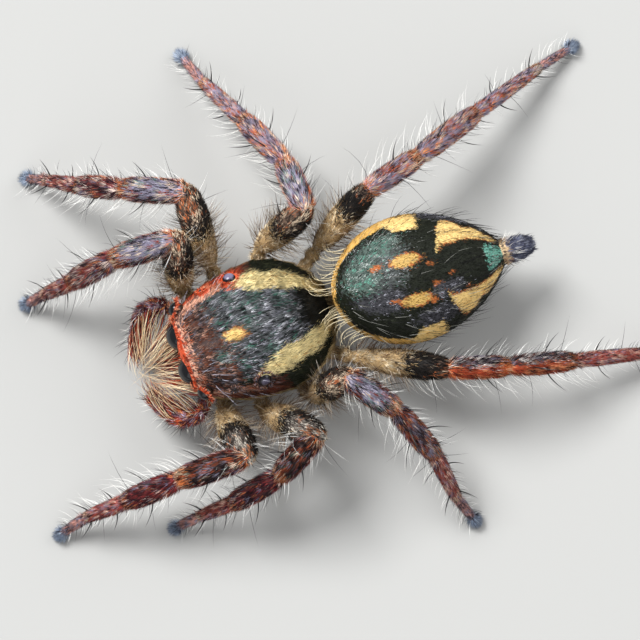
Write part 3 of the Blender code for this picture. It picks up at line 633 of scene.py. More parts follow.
def head_zones(p, rough):
    """Return the zone of each point of the shield; rough shakes the edges."""
    x = p[:, 0] + rough[:, 0]
    y = p[:, 1] + rough[:, 1]
    z = p[:, 2]
    across = np.abs(x)
    zones = np.full(len(p), ZONE_NUMBER["head grey"])
    paint(zones, y + 4 * rough[:, 2] < -0.62 + 0.28 * np.clip(x, -1, 0.4), "head brown")
    for sx, sy, size in GREEN_SPOTS:
        paint(zones, np.hypot(x - sx, y - sy) < size + 2.5 * rough[:, 2], "head green")
    centre = np.interp(y, BAND_Y, BAND_CENTRE)
    ripple = 1 + 0.13 * np.sin(9 * y + 2 * np.sign(x))
    width = np.interp(y, BAND_Y, BAND_HALF_WIDTH, 0, 0) * ripple
    paint(zones, (y > 1.22 + 0.12 * (across / 0.6) ** 2) & (across < centre), "head rear")
    paint(zones, across > centre + 0.8 * width, "head flank")
    brow = np.interp(y, RED_Y, RED_INNER)
    right = x < 0
    paint(zones, (y < 0.30) & (across > brow), "head brown")
    paint(zones, (y < 0.30) & (across > brow) & (right | (y < -1.02)), "head red")
    paint(zones, (y < 0.40) & (z < np.interp(y, RED_Y, RED_LOW)), "head low")
    pale = np.abs(across - brow - np.where(right, -0.10, 0.06)) < np.where(right, 0.10, 0.045)
    paint(zones, (y < -0.25) & (y > -1.35) & pale, "head pink")
    paint(zones, (y < -1.47) & (z > 2.05), "head red")
    paint(zones, (y < -1.28) & (y > -1.50) & (across < 0.95) & (rough[:, 2] > 0), "head pink")
    for name, place, radius, look in EYES[2:]:
        near = np.hypot(across - place[0], y - place[1]) < radius + 0.07
        paint(zones, near, "head brown")
        paint(zones, near & right, "head red")
    paint(zones, (np.abs(across - centre) < width) & (y > -0.05), "head cream")
    fx = (x - FOVEA[0]) / FOVEA_SIZE[0]
    fy = (y - FOVEA[1]) / FOVEA_SIZE[1]
    paint(zones, np.hypot(fx, fy) < 1.35, "halo")
    paint(zones, np.hypot(fx, fy) < 1.0, "fovea")
    paint(zones, (y < -1.40) & (z < 2.05), "clypeus")
    paint(zones, (z < MARGIN_HEIGHT + MARGIN_BAND) & (y > -1.30), "rim")
    return zones


# %% [markdown]
# The abdomen's rule reads how far back a point lies, from 0 to 1, and its turn from
# the top in degrees. A gold band wraps the front and runs along each side to a wider
# end, with a pair of spots and a pair of ragged patches behind, all yellow on black.

# %% Markings of the abdomen
ROLL = 6.0
BAND_END = 0.55
# Place along, turn, reach along, reach in turn
SPOT = (0.422, 19.0, 0.083, 5.4)
# Corners: place along, turn
PATCH = ((0.600, 19), (0.632, 27), (0.700, 29), (0.775, 33), (0.860, 36), (0.930, 36),
         (0.965, 58), (0.900, 54), (0.845, 61), (0.790, 52), (0.745, 62), (0.690, 64),
         (0.645, 46))
# The grey and green scale patches on the right front are partly painted sheen, bright where the
# light falls.
# Place along, turn, reach along, reach in turn, zone
SHEENS = ((0.24, -24, 0.19, 33, "grey scales and sheen"), (0.24, 14, 0.15, 14, "lilac scales"),
          (0.17, -22, 0.11, 26, "green scales and sheen"), (0.30, -42, 0.13, 12, "green scales and sheen"),
          (0.54, 41, 0.15, 12, "lilac scales"), (0.62, 18, 0.10, 9, "lilac scales"),
          (0.70, -76, 0.22, 12, "lilac scales"))
# Place along, turn, size
RED_MARKS = ((0.254, -21, 0.035), (0.550, -10, 0.022), (0.654, 4, 0.016), (0.556, 9, 0.024),
             (0.735, 25, 0.016), (0.304, 16, 0.020), (0.520, 24, 0.026))


def inside(polygon, a, b):
    """Say which points (a, b) lie inside a polygon."""
    hits = np.zeros(len(a), bool)
    for (a0, b0), (a1, b1) in zip(polygon, polygon[1:] + polygon[:1]):
        crosses = (b0 > b) != (b1 > b)
        hits ^= crosses & (a < a0 + (a1 - a0) * (b - b0) / ((b1 - b0) or 1e-9))
    return hits


def abdomen_zones(p, rough):
    """Return the zone of each point of the abdomen."""
    offset = p - ABDOMEN_FRONT
    along = offset @ BACKWARD / ABDOMEN_LENGTH + rough[:, 0] / ABDOMEN_LENGTH
    side = offset @ BACK_SIDE / ABDOMEN_WIDTH
    up = offset @ BACK_UP / ABDOMEN_HEIGHT
    turn = np.degrees(np.arctan2(side, up)) - ROLL + rough[:, 1] * 45
    wide = np.abs(turn)
    luck = rough[:, 2]
    zones = np.full(len(p), ZONE_NUMBER["black"])
    for t, at, long, broad, name in SHEENS:
        paint(zones, np.hypot((along - t) / long, (turn - at) / broad) + 9 * luck < 0.95, name)
    paint(zones, (along + 0.5 * luck > 0.88) & (wide + 110 * luck < 25), "green tip")
    for t, at, size in RED_MARKS:
        paint(zones, ((along - t) / size) ** 2 + ((turn - at) / (size * 90)) ** 2 < 1, "orange")
    st, sa, dt, da = SPOT
    for side_sign in (-1, 1):
        far = ((along - st) / dt) ** 2 + ((turn - side_sign * sa) / da) ** 2
        paint(zones, far < 1.34, "orange")
        paint(zones, far < 1.0, "spot")
    fat = [(a, b + (1.2 if b > 40 else -1.6)) for a, b in PATCH]
    paint(zones, inside(fat, along, wide), "orange")
    paint(zones, inside(list(PATCH), along, wide), "yellow")
    inner = np.interp(along, (0.0, 0.03, 0.07, 0.37, 0.41, 0.54, 0.56), (0, 48, 64, 65, 51, 50, 70))
    paint(zones, (along < BAND_END) & (wide > inner) & (wide < 96), "gold")
    paint(zones, (along > 0.36) & (along < BAND_END) & (wide > inner) & (wide < 80), "yellow")
    paint(zones, wide > 108, "belly")
    return zones


# %% [markdown]
# On a leg the coat changes from segment to segment, and from the top round to the
# sides. The turn is counted from the top of the segment, positive towards the front.
# The left legs lie away from the light, so their ground, and the knees of the front
# ones, are painted darker as painted shade. The last left leg is seen half from the side,
# so it is ashen above and fiery along its front.

# %% Markings of the legs
UNDER_SIDE = 130
TURN_WANDER = 400
ALONG_WANDER = 2


def leg_zones(form, u, v, rough):
    """Return the zone of each point of a leg form."""
    turn = np.degrees(np.arctan2(-np.cos(2 * math.pi * v) * form.side, np.sin(2 * math.pi * v)))
    turn = turn + rough[:, 0] * TURN_WANDER
    wide = np.abs(turn)
    along = u + rough[:, 1] * ALONG_WANDER
    hind = form.owner[-1] in "34"
    fourth = form.owner[-1] == "4"
    left = form.side > 0
    left_front = left and not hind
    # The left legs take the darker copies of their palettes, as painted shade.
    ground = ("lilac" if hind else "wine") + (" dark" if left else "")
    zones = np.full(len(u), ZONE_NUMBER[ground])
    if fourth and left:
        paint(zones, turn < 2, "ash")
        paint(zones, turn > 2, "fire")
    if form.part == "coxa":
        paint(zones, wide >= 0, "tan")
    elif form.part == "femur":
        dark_from, top_from = (0.55, 0.86) if fourth else (0.46, 0.64)
        top = "thigh pale" if left_front else "thigh top"
        paint(zones, wide >= 0, "tan")
        paint(zones, along > dark_from, "thigh black")
        paint(zones, (along > top_from) & (turn > -35) & (turn < 100), top)
        paint(zones, along > 0.90, top)
        paint(zones, (wide > UNDER_SIDE) & (along < 0.9), "tan")
    elif form.part == "patella":
        edge = 58 * np.sin(np.clip(along / 0.86, 0, 1) * math.pi) ** 0.6
        if not fourth:
            paint(zones, (wide < edge + 12) & (wide > edge), "thigh black")
            # The left front knees take the darker copy, as painted shade.
            paint(zones, (wide < edge) & (along < 0.84), "knee dark" if left_front else "knee")
        paint(zones, (along > 0.80) & (wide < UNDER_SIDE), "ring")
        paint(zones, (along < 0.08) & (wide < UNDER_SIDE), "ring")
    elif form.part == "tibia":
        paint(zones, (along > 0.86) & (wide < UNDER_SIDE), "ring")
    elif form.part == "metatarsus":
        if left or not hind:
            paint(zones, along > 0.06, "rust")
        paint(zones, (along > 0.86) & (wide < UNDER_SIDE), "pale ring")
    elif form.part == "tarsus":
        paint(zones, wide >= 0, "toe")
        paint(zones, along > 0.80, "claw")
    elif form.part == "claw":
        paint(zones, wide >= 0, "claw")
    return zones


# %% Markings of everything
def zones_of(form, u, v, p, rough):
    """Return the zone of each point of any form."""
    if form.part == "shield":
        return head_zones(p, rough)
    if form.part == "abdomen":
        return abdomen_zones(p, rough)
    if form.part == "spinneret":
        zones = np.full(len(u), ZONE_NUMBER["tail"])
        paint(zones, (u + rough[:, 1] < 0.22) & (form.step == 0), "tail base")
        return zones
    single = {"chest": "tan", "palp": "palp", "jaw": "jaw"}
    if form.part in single:
        return np.full(len(u), ZONE_NUMBER[single[form.part]])
    return leg_zones(form, u, v, rough)


# %% [markdown]
# One skin covers the whole animal, so that no seam shows where a leg meets the body.
# All forms are put into one mesh as overlapping closed grids, and a voxel remesh
# turns them into a single surface, as if they were dipped in thin clay. A Boolean
# union would keep sharp creases and may fail on so many grazing surfaces.

# %% Closed grids
def grid_mesh(forms):
    """Return points and faces of closed grids for all forms."""
    points, faces, start = [], [], 0
    for form in forms:
        rows, columns = form.cells
        u = np.repeat(np.linspace(0, 1, rows), columns)
        v = np.tile(np.arange(columns) / columns, rows)
        points.append(form.rule(u, v))
        for i in range(rows - 1):
            a, b = start + i * columns, start + (i + 1) * columns
            for j in range(columns):
                k = (j + 1) % columns
                faces.append([a + j, a + k, b + k, b + j])
        faces.append([start + j for j in range(columns)][::-1])
        faces.append([start + (rows - 1) * columns + j for j in range(columns)])
        start += rows * columns
    return np.concatenate(points), faces


# %% Rings of skin round the eyes
RIM = 0.036
RIM_DEPTH = 0.32


def every_eye():
    """Yield name, side, centre, radius and facing of each eye, the right one first."""
    for name, place, radius, look in EYES:
        for side in (-1, 1):
            centre = np.array(mirrored(place, side))
            yield name, side, centre, radius, unit(np.array(mirrored(look, side)))


def rim_radius(radius):
    """Return the radius of the ring round an eye."""
    return radius * 0.90 + 0.02


def rim(centre, facing, radius):
    """Return the rule of the raised ring of skin round one eye."""
    one, two = axes_along(facing)
    middle = centre + facing * radius * RIM_DEPTH

    def place(u, v):
        turn = (2 * math.pi * u)[:, None]
        small = (2 * math.pi * v)[:, None]
        spoke = one * np.cos(turn) + two * np.sin(turn)
        width = rim_radius(radius) + RIM * np.cos(small)
        return middle + spoke * width - facing * RIM * np.sin(small)

    return place


def rims():
    """Return forms of the rings round all eyes."""
    return [Form("shield", rim(centre, facing, radius), cells=(20, 10), owner="rim")
            for name, side, centre, radius, facing in every_eye()]


# %% Skin surface
VOXEL = 0.036
SMOOTH_SHARE = 0.5
SMOOTH_ROUNDS = 3


def make_skin():
    """Join all forms into one surface and return its object, still in millimetres."""
    points, faces = grid_mesh(FORMS + rims())
    mesh = bpy.data.meshes.new("skin")
    mesh.from_pydata([tuple(row) for row in points], [], faces)
    skin = put_in_scene("skin", mesh)
    remesh = skin.modifiers.new("clay", "REMESH")
    remesh.mode = "VOXEL"
    remesh.voxel_size = VOXEL
    smooth = skin.modifiers.new("smooth", "SMOOTH")
    smooth.factor = SMOOTH_SHARE
    smooth.iterations = SMOOTH_ROUNDS
    graph = bpy.context.evaluated_depsgraph_get()
    final = bpy.data.meshes.new_from_object(skin.evaluated_get(graph))
    skin.modifiers.clear()
    skin.data = final
    final.name = "skin"
    return skin


skin = make_skin()
print("skin faces:", len(skin.data.polygons))

# %% [markdown]
# The remesh forgets which form a point came from. A search tree over sample points
# of all forms gives it back: the nearest sample names the form and the place on it,
# and from there the markings' rules give the colour, stored on the mesh itself.

# %% Colours of the skin
SKIN_ROUGHNESS = 0.018


def nearest_places(points):
    """Return for each point the number of its form and its u and v there."""
    samples, index = [], []
    for number, form in enumerate(FORMS):
        rows, columns = max(form.cells[0], 16), form.cells[1]
        u = np.repeat(np.linspace(0.01, 0.99, rows), columns)
        v = np.tile(np.arange(columns) / columns, rows)
        samples.append(form.rule(u, v))
        index += [(number, a, b) for a, b in zip(u, v)]
    samples = np.concatenate(samples)
    tree = kdtree.KDTree(len(samples))
    for k, place in enumerate(samples):
        tree.insert(place, k)
    tree.balance()
    return np.array([index[tree.find(place)[1]] for place in points])


def add_tint(mesh, colours):
    """Store one colour per point on a mesh under the name tint."""
    rgba = np.concatenate((colours, np.ones((len(colours), 1))), axis=1).astype(np.float32)
    layer = mesh.color_attributes.new("tint", "FLOAT_COLOR", "POINT")
    layer.data.foreach_set("color", rgba.ravel())


def colour_skin(thing):
    """Give every point of the skin the colour of its zone."""
    chance = np.random.default_rng(7)
    count = len(thing.data.vertices)
    points = np.zeros(count * 3)
    thing.data.vertices.foreach_get("co", points)
    points = points.reshape(-1, 3)
    places = nearest_places(points)
    zones = np.zeros(count, int)
    rough = chance.normal(0, SKIN_ROUGHNESS, (count, 3))
    for number, form in enumerate(FORMS):
        rows = places[:, 0] == number
        if rows.any():
            u, v = places[rows, 1], places[rows, 2]
            zones[rows] = zones_of(form, u, v, points[rows], rough[rows])
    add_tint(thing.data, skin_colours(zones))
    print("zones on the skin:", len(np.unique(zones)))


colour_skin(skin)
skin.data.transform(Matrix.Scale(MM, 4) @ Matrix.Translation(Vector(SHIFT)))
skin.data.shade_smooth()

# %% [markdown]
# A finish is a Principled shader fed by the stored tint. An image could carry the
# colours too, but it would need a map laid out over this seamless skin first. A fine
# noise makes tint and gloss uneven, and as a bump it gives the skin its leathery grain
# between the hairs. The noise scales look huge because they count cells in a metre.

# %% Finish builder
GLOSS_SPREAD = 0.12
LEAST_ROUGHNESS = 0.03


def finish_from_tint(name, roughness, grain, depth, spread, shine, coat=0.0):
    """Make a material that shows the mesh's tint with a fine uneven grain."""
    made = bpy.data.materials.new(name)
    made.use_nodes = True
    tree = made.node_tree
    shader = tree.nodes["Principled BSDF"]
    shader.inputs["Coat Weight"].default_value = coat
    shader.inputs["Coat Roughness"].default_value = 0.06
    shader.inputs["Specular IOR Level"].default_value = shine
    tint = tree.nodes.new("ShaderNodeAttribute")
    tint.attribute_name = "tint"
    place = tree.nodes.new("ShaderNodeTexCoord")
    noise = tree.nodes.new("ShaderNodeTexNoise")
    noise.inputs["Scale"].default_value = grain
    noise.inputs["Detail"].default_value = 4.0
    tree.links.new(place.outputs["Object"], noise.inputs["Vector"])
    shade = tree.nodes.new("ShaderNodeMapRange")
    shade.inputs["To Min"].default_value = 1.0 - spread
    shade.inputs["To Max"].default_value = 1.0 + spread
    tree.links.new(noise.outputs["Fac"], shade.inputs["Value"])
    scale = tree.nodes.new("ShaderNodeVectorMath")
    scale.operation = "SCALE"
    tree.links.new(tint.outputs["Color"], scale.inputs[0])
    tree.links.new(shade.outputs["Result"], scale.inputs["Scale"])
    tree.links.new(scale.outputs["Vector"], shader.inputs["Base Color"])
    gloss = tree.nodes.new("ShaderNodeMapRange")
    gloss.inputs["To Min"].default_value = max(roughness - GLOSS_SPREAD, LEAST_ROUGHNESS)
    gloss.inputs["To Max"].default_value = roughness + GLOSS_SPREAD
    tree.links.new(noise.outputs["Fac"], gloss.inputs["Value"])
    tree.links.new(gloss.outputs["Result"], shader.inputs["Roughness"])
    if depth:
        bump = tree.nodes.new("ShaderNodeBump")
        bump.inputs["Strength"].default_value = 0.7
        bump.inputs["Distance"].default_value = depth
        tree.links.new(noise.outputs["Fac"], bump.inputs["Height"])
        tree.links.new(bump.outputs["Normal"], shader.inputs["Normal"])
    return made


# %% Finishes of skin, coat, spines and eyes
# Name, roughness, grain, depth of the bumps, spread of the tint, shine
SKIN_FINISH = finish_from_tint("skin", 0.55, 24000.0, 0.00002, 0.30, 0.18)
HAIR_FINISH = finish_from_tint("coat", 0.45, 9000.0, 0.0, 0.18, 0.14)
SPINE_FINISH = finish_from_tint("spine", 0.32, 15000.0, 0.0, 0.25, 0.35)
EYE_FINISH = finish_from_tint("eye", 0.10, 6000.0, 0.0, 0.10, 0.20, coat=0.40)

skin.data.materials.clear()
skin.data.materials.append(SKIN_FINISH)
flesh = [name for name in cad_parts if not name.startswith("eye_")]
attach(skin, "root")
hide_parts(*flesh)
print("skin replaces", len(flesh), "nodes")

# %% [markdown]
# Hair could be grown as particles or curves, but those are drawn as lines, and a reader
# of the exported model needs meshes. So a hair is a thin closed spike: one ring of
# points or more and a tip. Long hairs have more rings and bend along a curve with one
# control point, short ones are straight. All hairs of a piece are computed together as
# arrays, because a loop over a hundred thousand hairs would take minutes. Each hair also
# gets a small square of the texture map OFBake at its root's place, so that its colour
# can be baked there.

# %% Points and faces of a strand
def strand_points(root, control, tip, width, flat, rings, sides, face):
    """Return the points of many tapering strands, ring by ring, with the tip last."""
    count = len(root)
    steps = np.linspace(0.0, 1.0, rings + 1)
    points = np.zeros((count, rings * sides + 1, 3))
    for k, t in enumerate(steps[:-1]):
        centre = root * (1 - t) ** 2 + control * (2 * t * (1 - t)) + tip * t ** 2
        ahead = unit((control - root) * (1 - t) + (tip - control) * t)
        across = unit(np.cross(ahead, face))
        up = np.cross(across, ahead)
        radius = (width / 2 * (1.0 - t ** 1.6))[:, None]
        for j in range(sides):
            turn = 2 * math.pi * j / sides + math.pi / 2
            points[:, k * sides + j] = (centre + across * radius * math.cos(turn)
                                        + up * radius * flat * math.sin(turn))
    points[:, -1] = tip
    return points


def strand_faces(rings, sides):
    """Return the triangles of one strand, closed at its root."""
    faces = [(0, j, j + 1) for j in range(1, sides - 1)]
    for k in range(rings - 1):
        for j in range(sides):
            a, b = k * sides + j, k * sides + (j + 1) % sides
            faces += [(a, a + sides, b), (b, a + sides, b + sides)]
    base = (rings - 1) * sides
    faces += [(base + j, rings * sides, base + (j + 1) % sides) for j in range(sides)]
    return np.array(faces)


# %% Coat builder
PATCH_SIZE = 0.003
MAP_MARGIN = 0.02
ROW_MARGIN = 0.03
FLOOR_CLEARANCE = 0.012


class Coat:
    """Collects strands and makes one object of them."""

    def __init__(self, name, slot, finish, rows=1):
        self.name = name
        self.slot = slot
        self.finish = finish
        self.rows = rows
        self.points, self.faces, self.tints, self.uvs = [], [], [], []
        self.count = 0
        self.strands = 0

    def add(self, root, control, tip, width, colours, places, face, flat=0.5, rings=2, sides=3,
            root_shade=0.55):
        """Add strands; places gives each root's row of the map, u and v."""
        low = np.minimum(control[:, 2], tip[:, 2])
        free = (low > FLOOR_CLEARANCE) & (root[:, 2] > 0.0)
        root, control, tip, colours = root[free], control[free], tip[free], colours[free]
        places, face = places[free], face[free]
        width = np.broadcast_to(width, free.shape)[free]
        count = len(root)
        made = strand_points(root, control, tip, width, flat, rings, sides, face)
        per = made.shape[1]
        shape = strand_faces(rings, sides)
        faces = shape[None] + (np.arange(count) * per)[:, None, None] + self.count
        level = np.minimum(np.arange(per) // sides / rings, 1.0)
        # Each hair is painted darker towards its root, as painted shade from the coat around it.
        shade = root_shade + (1.0 - root_shade) * np.minimum(level * 2, 1.0)
        tints = colours[:, None, :] * shade[None, :, None]
        corner = np.stack((level - 0.5, (np.arange(per) % sides) / (sides - 1) - 0.5), axis=1)
        over = MAP_MARGIN + (1 - 2 * MAP_MARGIN) * places[:, 1]
        down = places[:, 0] + ROW_MARGIN + (1 - 2 * ROW_MARGIN) * (places[:, 2] % 1.0)
        home = np.stack((over, down / self.rows), axis=1)
        uv = home[:, None, :] + corner[None] * PATCH_SIZE
        self.points.append(made.reshape(-1, 3))
        self.faces.append(faces.reshape(-1, 3))
        self.tints.append(tints.reshape(-1, 3))
        self.uvs.append(uv.reshape(-1, 2))
        self.count += count * per
        self.strands += count

    def make(self):
        """Make the object, in metres, riding on the body."""
        points = (np.concatenate(self.points) + SHIFT) * MM
        faces = np.concatenate(self.faces)
        mesh = bpy.data.meshes.new(self.name)
        mesh.vertices.add(len(points))
        mesh.vertices.foreach_set("co", points.astype(np.float32).ravel())
        mesh.loops.add(faces.size)
        mesh.loops.foreach_set("vertex_index", faces.astype(np.int32).ravel())
        mesh.polygons.add(len(faces))
        mesh.polygons.foreach_set("loop_start", np.arange(0, faces.size, 3, dtype=np.int32))
        mesh.update(calc_edges=True)
        add_tint(mesh, np.concatenate(self.tints))
        uv = np.concatenate(self.uvs)[faces.ravel()]
        mesh.uv_layers.new(name="OFBake").data.foreach_set("uv", uv.astype(np.float32).ravel())
        mesh.materials.append(self.finish)
        mesh.shade_smooth()
        thing = put_in_scene(self.name, mesh)
        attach(thing, "root")
        print(self.name, self.strands, "strands", len(faces), "triangles")
        return thing


# %% [markdown]
# The short coat covers everything but the eyes and jaws. It could be painted on the
# skin, but then the outline would be bare and the sheen flat. So strands are scattered
# evenly over each form, as many to a square millimetre as the part needs. A hair leaves
# the skin at a small angle and lies back along the form, a little astray. Hairs that
# would start inside an eye are left out. Real hairs of one colour stand in tufts, so
# most hairs take over the luck of a nearby leader, and their colours come out in long
# clumps along the coat. The foot tufts are the densest coat of all, on a ball laid
# along the foot.

# %% Sizes of the short coat
# Part: hairs to a square millimetre, length, width, lean and wander in degrees
SHORT_COAT = {
    "shield": (1650, 0.19, 0.019, 10, 11),
    "abdomen": (1350, 0.11, 0.021, 9, 10),
    "spinneret": (2000, 0.13, 0.017, 18, 16),
    "chest": (500, 0.15, 0.020, 14, 20),
    "coxa": (900, 0.15, 0.018, 15, 16),
    "femur": (1250, 0.17, 0.018, 16, 14),
    "patella": (1650, 0.21, 0.018, 12, 11),
    "tibia": (1650, 0.20, 0.018, 12, 11),
    "metatarsus": (1900, 0.17, 0.017, 12, 11),
    "tarsus": (2400, 0.14, 0.017, 15, 14),
    "claw": (5200, 0.17, 0.013, 24, 12),
    "palp": (2300, 0.17, 0.017, 22, 18),
}
COAT_ROUGHNESS = 0.035
ROOT_SINK = 0.02

# %% Places of the hairs
PROBES = 4000
SPARE = 6
EYE_CLEARANCE = 0.012


def scatter(form, density, chance):
    """Return evenly scattered places on a form: u, v, points, outward and along."""
    cell = form.shape(chance.uniform(0, 1, PROBES), chance.uniform(0, 1, PROBES))[3]
    count = int(cell.mean() / (2 * PROBE) ** 2 * density)
    u = chance.uniform(0, 1, count * SPARE)
    v = chance.uniform(0, 1, count * SPARE)
    cell = form.shape(u, v)[3]
    picked = chance.choice(len(u), count, replace=False, p=cell / cell.sum())
    u = np.clip(u[picked], 0.001, 0.999)
    v = v[picked]
    points, out, ahead, cell = form.shape(u, v)
    return u, v, points, out, ahead


def clear_of_eyes(points):
    """Say which points lie outside all eyes."""
    free = np.ones(len(points), bool)
    for name, side, centre, radius, facing in every_eye():
        free &= np.linalg.norm(points - centre, axis=1) > radius + EYE_CLEARANCE
    return free


# %% Clumps of one colour
CLUMP = 8
CLUMP_SHARE = 0.88
CLUMP_STRETCH = 3.0


def clumped(luck, root, ahead, chance):
    """Let most hairs share a leader's luck, so that colours come in clumps along the coat."""
    way = unit(ahead.mean(axis=0))
    root = root - way * (root @ way)[:, None] * (1 - 1 / CLUMP_STRETCH)
    leaders = chance.choice(len(root), len(root) // CLUMP + 1, replace=False)
    tree = kdtree.KDTree(len(leaders))
    for k in leaders:
        tree.insert(root[k], int(k))
    tree.balance()
    led = np.array([tree.find(place)[1] for place in root])
    return np.where(chance.uniform(0, 1, len(root)) < CLUMP_SHARE, luck[led], luck)


# %% Short coat of one form
def add_short_coat(coat, form, row, chance):
    """Cover one form with its short coat."""
    density, length, width, lean, wander = SHORT_COAT[form.part]
    u, v, root, out, ahead = scatter(form, density, chance)
    free = clear_of_eyes(root)
    u, v, root, out, ahead = u[free], v[free], root[free], out[free], ahead[free]
    count = len(root)
    across = unit(np.cross(out, ahead))
    astray = np.tan(np.radians(chance.normal(0, wander, count)))[:, None]
    lift = np.tan(np.radians(np.abs(chance.normal(lean, lean * 0.4, count))))[:, None]
    way = unit(ahead + across * astray + out * lift)
    reach = (length * chance.uniform(0.7, 1.25, count))[:, None]
    control = root + way * reach * 0.5 + out * reach * 0.04
    tip = root + unit(way - out * lift * 0.35) * reach
    rough = chance.normal(0, COAT_ROUGHNESS, (count, 3))
    zones = zones_of(form, u, v, root, rough)
    colours = hair_colours(zones, clumped(chance.uniform(0, 1, count), root, ahead, chance))
    colours *= clumped(chance.uniform(0.5, 1.4, count), root, ahead, chance)[:, None]
    places = np.stack((np.full(count, row), u, v), axis=1)
    coat.add(root - out * ROOT_SINK, control, tip, width * chance.uniform(0.7, 1.3, count), colours,
             places, out, rings=1, root_shade=0.68)


def coat_for(name, slot, forms, seed):
    """Make the short coat of a group of forms."""
    chance = np.random.default_rng(seed)
    coat = Coat(name, slot, HAIR_FINISH, len(forms))
    for row, form in enumerate(forms):
        add_short_coat(coat, form, row, chance)
    return coat.make()


# %% Short coat of every part
FACE_WIDENING = 1.1


def face(u, v):
    """Return points of the flat face, u from its top down."""
    front, half, top = SHIELD[0][:3]
    x = half * FACE_WIDENING * (1 - 2 * v)
    z = MARGIN_HEIGHT + (top - MARGIN_HEIGHT) * (1 - u)
    return np.stack((x, np.full(len(u), front), z), axis=1)


def owned_by(owner):
    """Return the forms of one owner."""
    return [form for form in FORMS if form.owner == owner]


FACE = Form("shield", face, owner="head")
coat_for("coat_head", "carapace", owned_by("head") + [FACE], 11)
coat_for("coat_abdomen", "abdomen", owned_by("abdomen"), 12)
coat_for("coat_chest", "underside", owned_by("chest"), 13)
coat_for("coat_palps", "palp", owned_by("palps"), 14)
for seed, name in enumerate(LEGS, start=21):
    coat_for("coat_" + name, "leg", owned_by(name), seed)

# %% [markdown]
# Jumping spiders carry stout black spines on their legs, which they can raise. They
# aren't strewn at random like hairs but stand at fixed places, so a table names them.
# Each one is a thick six-sided strand that bends towards the foot.

# %% Spines
# Segment, place along it, turn from its top, length
LEG_SPINES = (
    (1, 0.60, 80, 0.46), (1, 0.60, -80, 0.46),
    (2, 0.30, 20, 0.62), (2, 0.55, 90, 0.58), (2, 0.55, -95, 0.58), (2, 0.82, -150, 0.46),
    (3, 0.30, 110, 0.46), (3, 0.30, -110, 0.46), (3, 0.86, 60, 0.40), (3, 0.86, -60, 0.40),
    (0, 0.48, 5, 0.62), (0, 0.72, -32, 0.70), (0, 0.74, 34, 0.66),
)
SPINE_LEAN = math.radians(48)
SPINE_BLACK = (0.012, 0.010, 0.010)
ROOT_DEPTH = 0.38
LOWEST_POINT = 0.05


def leg_growth(name, k, along, turn, length, lean):
    """Return root, control and tip of one growth on a leg."""
    joints = leg_joints(name)
    start, end = joints[k], joints[k + 1]
    radius = LEG_RADII[int(name[-1]) - 1][k]
    ahead = unit(end - start)
    side, up = axes_along(ahead)
    around = math.radians(turn)
    out = up * math.cos(around) + side * (side_of(name) * math.sin(around))
    root = start + (end - start) * along + out * radius * (1 - ROOT_DEPTH)
    reach = length + radius * ROOT_DEPTH
    tip = root + (out * math.sin(lean) + ahead * math.cos(lean)) * reach
    control = root + (out * 0.8 + ahead * 0.35) * reach * 0.5
    tip[2] = max(tip[2], LOWEST_POINT)
    control[2] = max(control[2], LOWEST_POINT)
    return root, control, tip, out


def make_spines():
    """Make the black spines of all legs as one piece."""
    coat = Coat("spines", "leg", SPINE_FINISH)
    rows = [leg_growth(name, *row, SPINE_LEAN) for name in LEGS for row in LEG_SPINES]
    root, control, tip, out = (np.array(column) for column in zip(*rows))
    count = len(root)
    places = np.stack((np.zeros(count), np.linspace(0, 1, count), np.full(count, 0.5)), axis=1)
    colours = np.tile(SPINE_BLACK, (count, 1))
    coat.add(root, control, tip, 0.035, colours, places, out, flat=1.0, rings=6, sides=6)
    return coat.make()


make_spines()

# %% [markdown]
# Long hairs break the outline of every leg: thin black bristles that stand up, a few
# tall ones that lean sideways, and fine white ones that fringe the sides and the
# underside. Brown and pale fuzz stands round the roots of the legs. All are strewn at
# random over the segments and bend a little towards the foot.

# %% Long hairs of the legs
# For each segment in turn: share of the hairs, where along it they start and end
WHOLE_LEG = ((0.7, 0.35, 0.98), (1.0, 0.02, 0.98), (1.2, 0.02, 0.98), (0.8, 0.02, 0.98),
             (0.4, 0.02, 0.98))
LEG_ROOT = ((1.0, 0.0, 0.6),)
FOOT_SHORTENING = 0.7
BRISTLE_BLACK = (0.010, 0.008, 0.010)
# Where, number on a segment, turns, lengths, lean, width, tint
LONG_LEG_HAIRS = (
    (WHOLE_LEG, 26, (-115, 115), (0.18, 0.40), 46, 0.0115, BRISTLE_BLACK),
    (WHOLE_LEG, 1.5, (70, 110), (0.60, 1.05), 72, 0.013, BRISTLE_BLACK),
    (WHOLE_LEG, 1.5, (-110, -70), (0.60, 1.05), 72, 0.013, BRISTLE_BLACK),
    (WHOLE_LEG, 28, (60, 165), (0.32, 0.82), 44, 0.010, (0.95, 0.94, 0.90)),
    (WHOLE_LEG, 15, (-160, -50), (0.24, 0.52), 48, 0.010, (0.92, 0.91, 0.88)),
    (LEG_ROOT, 170, (-180, 180), (0.28, 0.60), 58, 0.013, (0.17, 0.105, 0.062)),
    (LEG_ROOT, 90, (-180, 180), (0.28, 0.60), 58, 0.012, (0.66, 0.55, 0.42)),
)


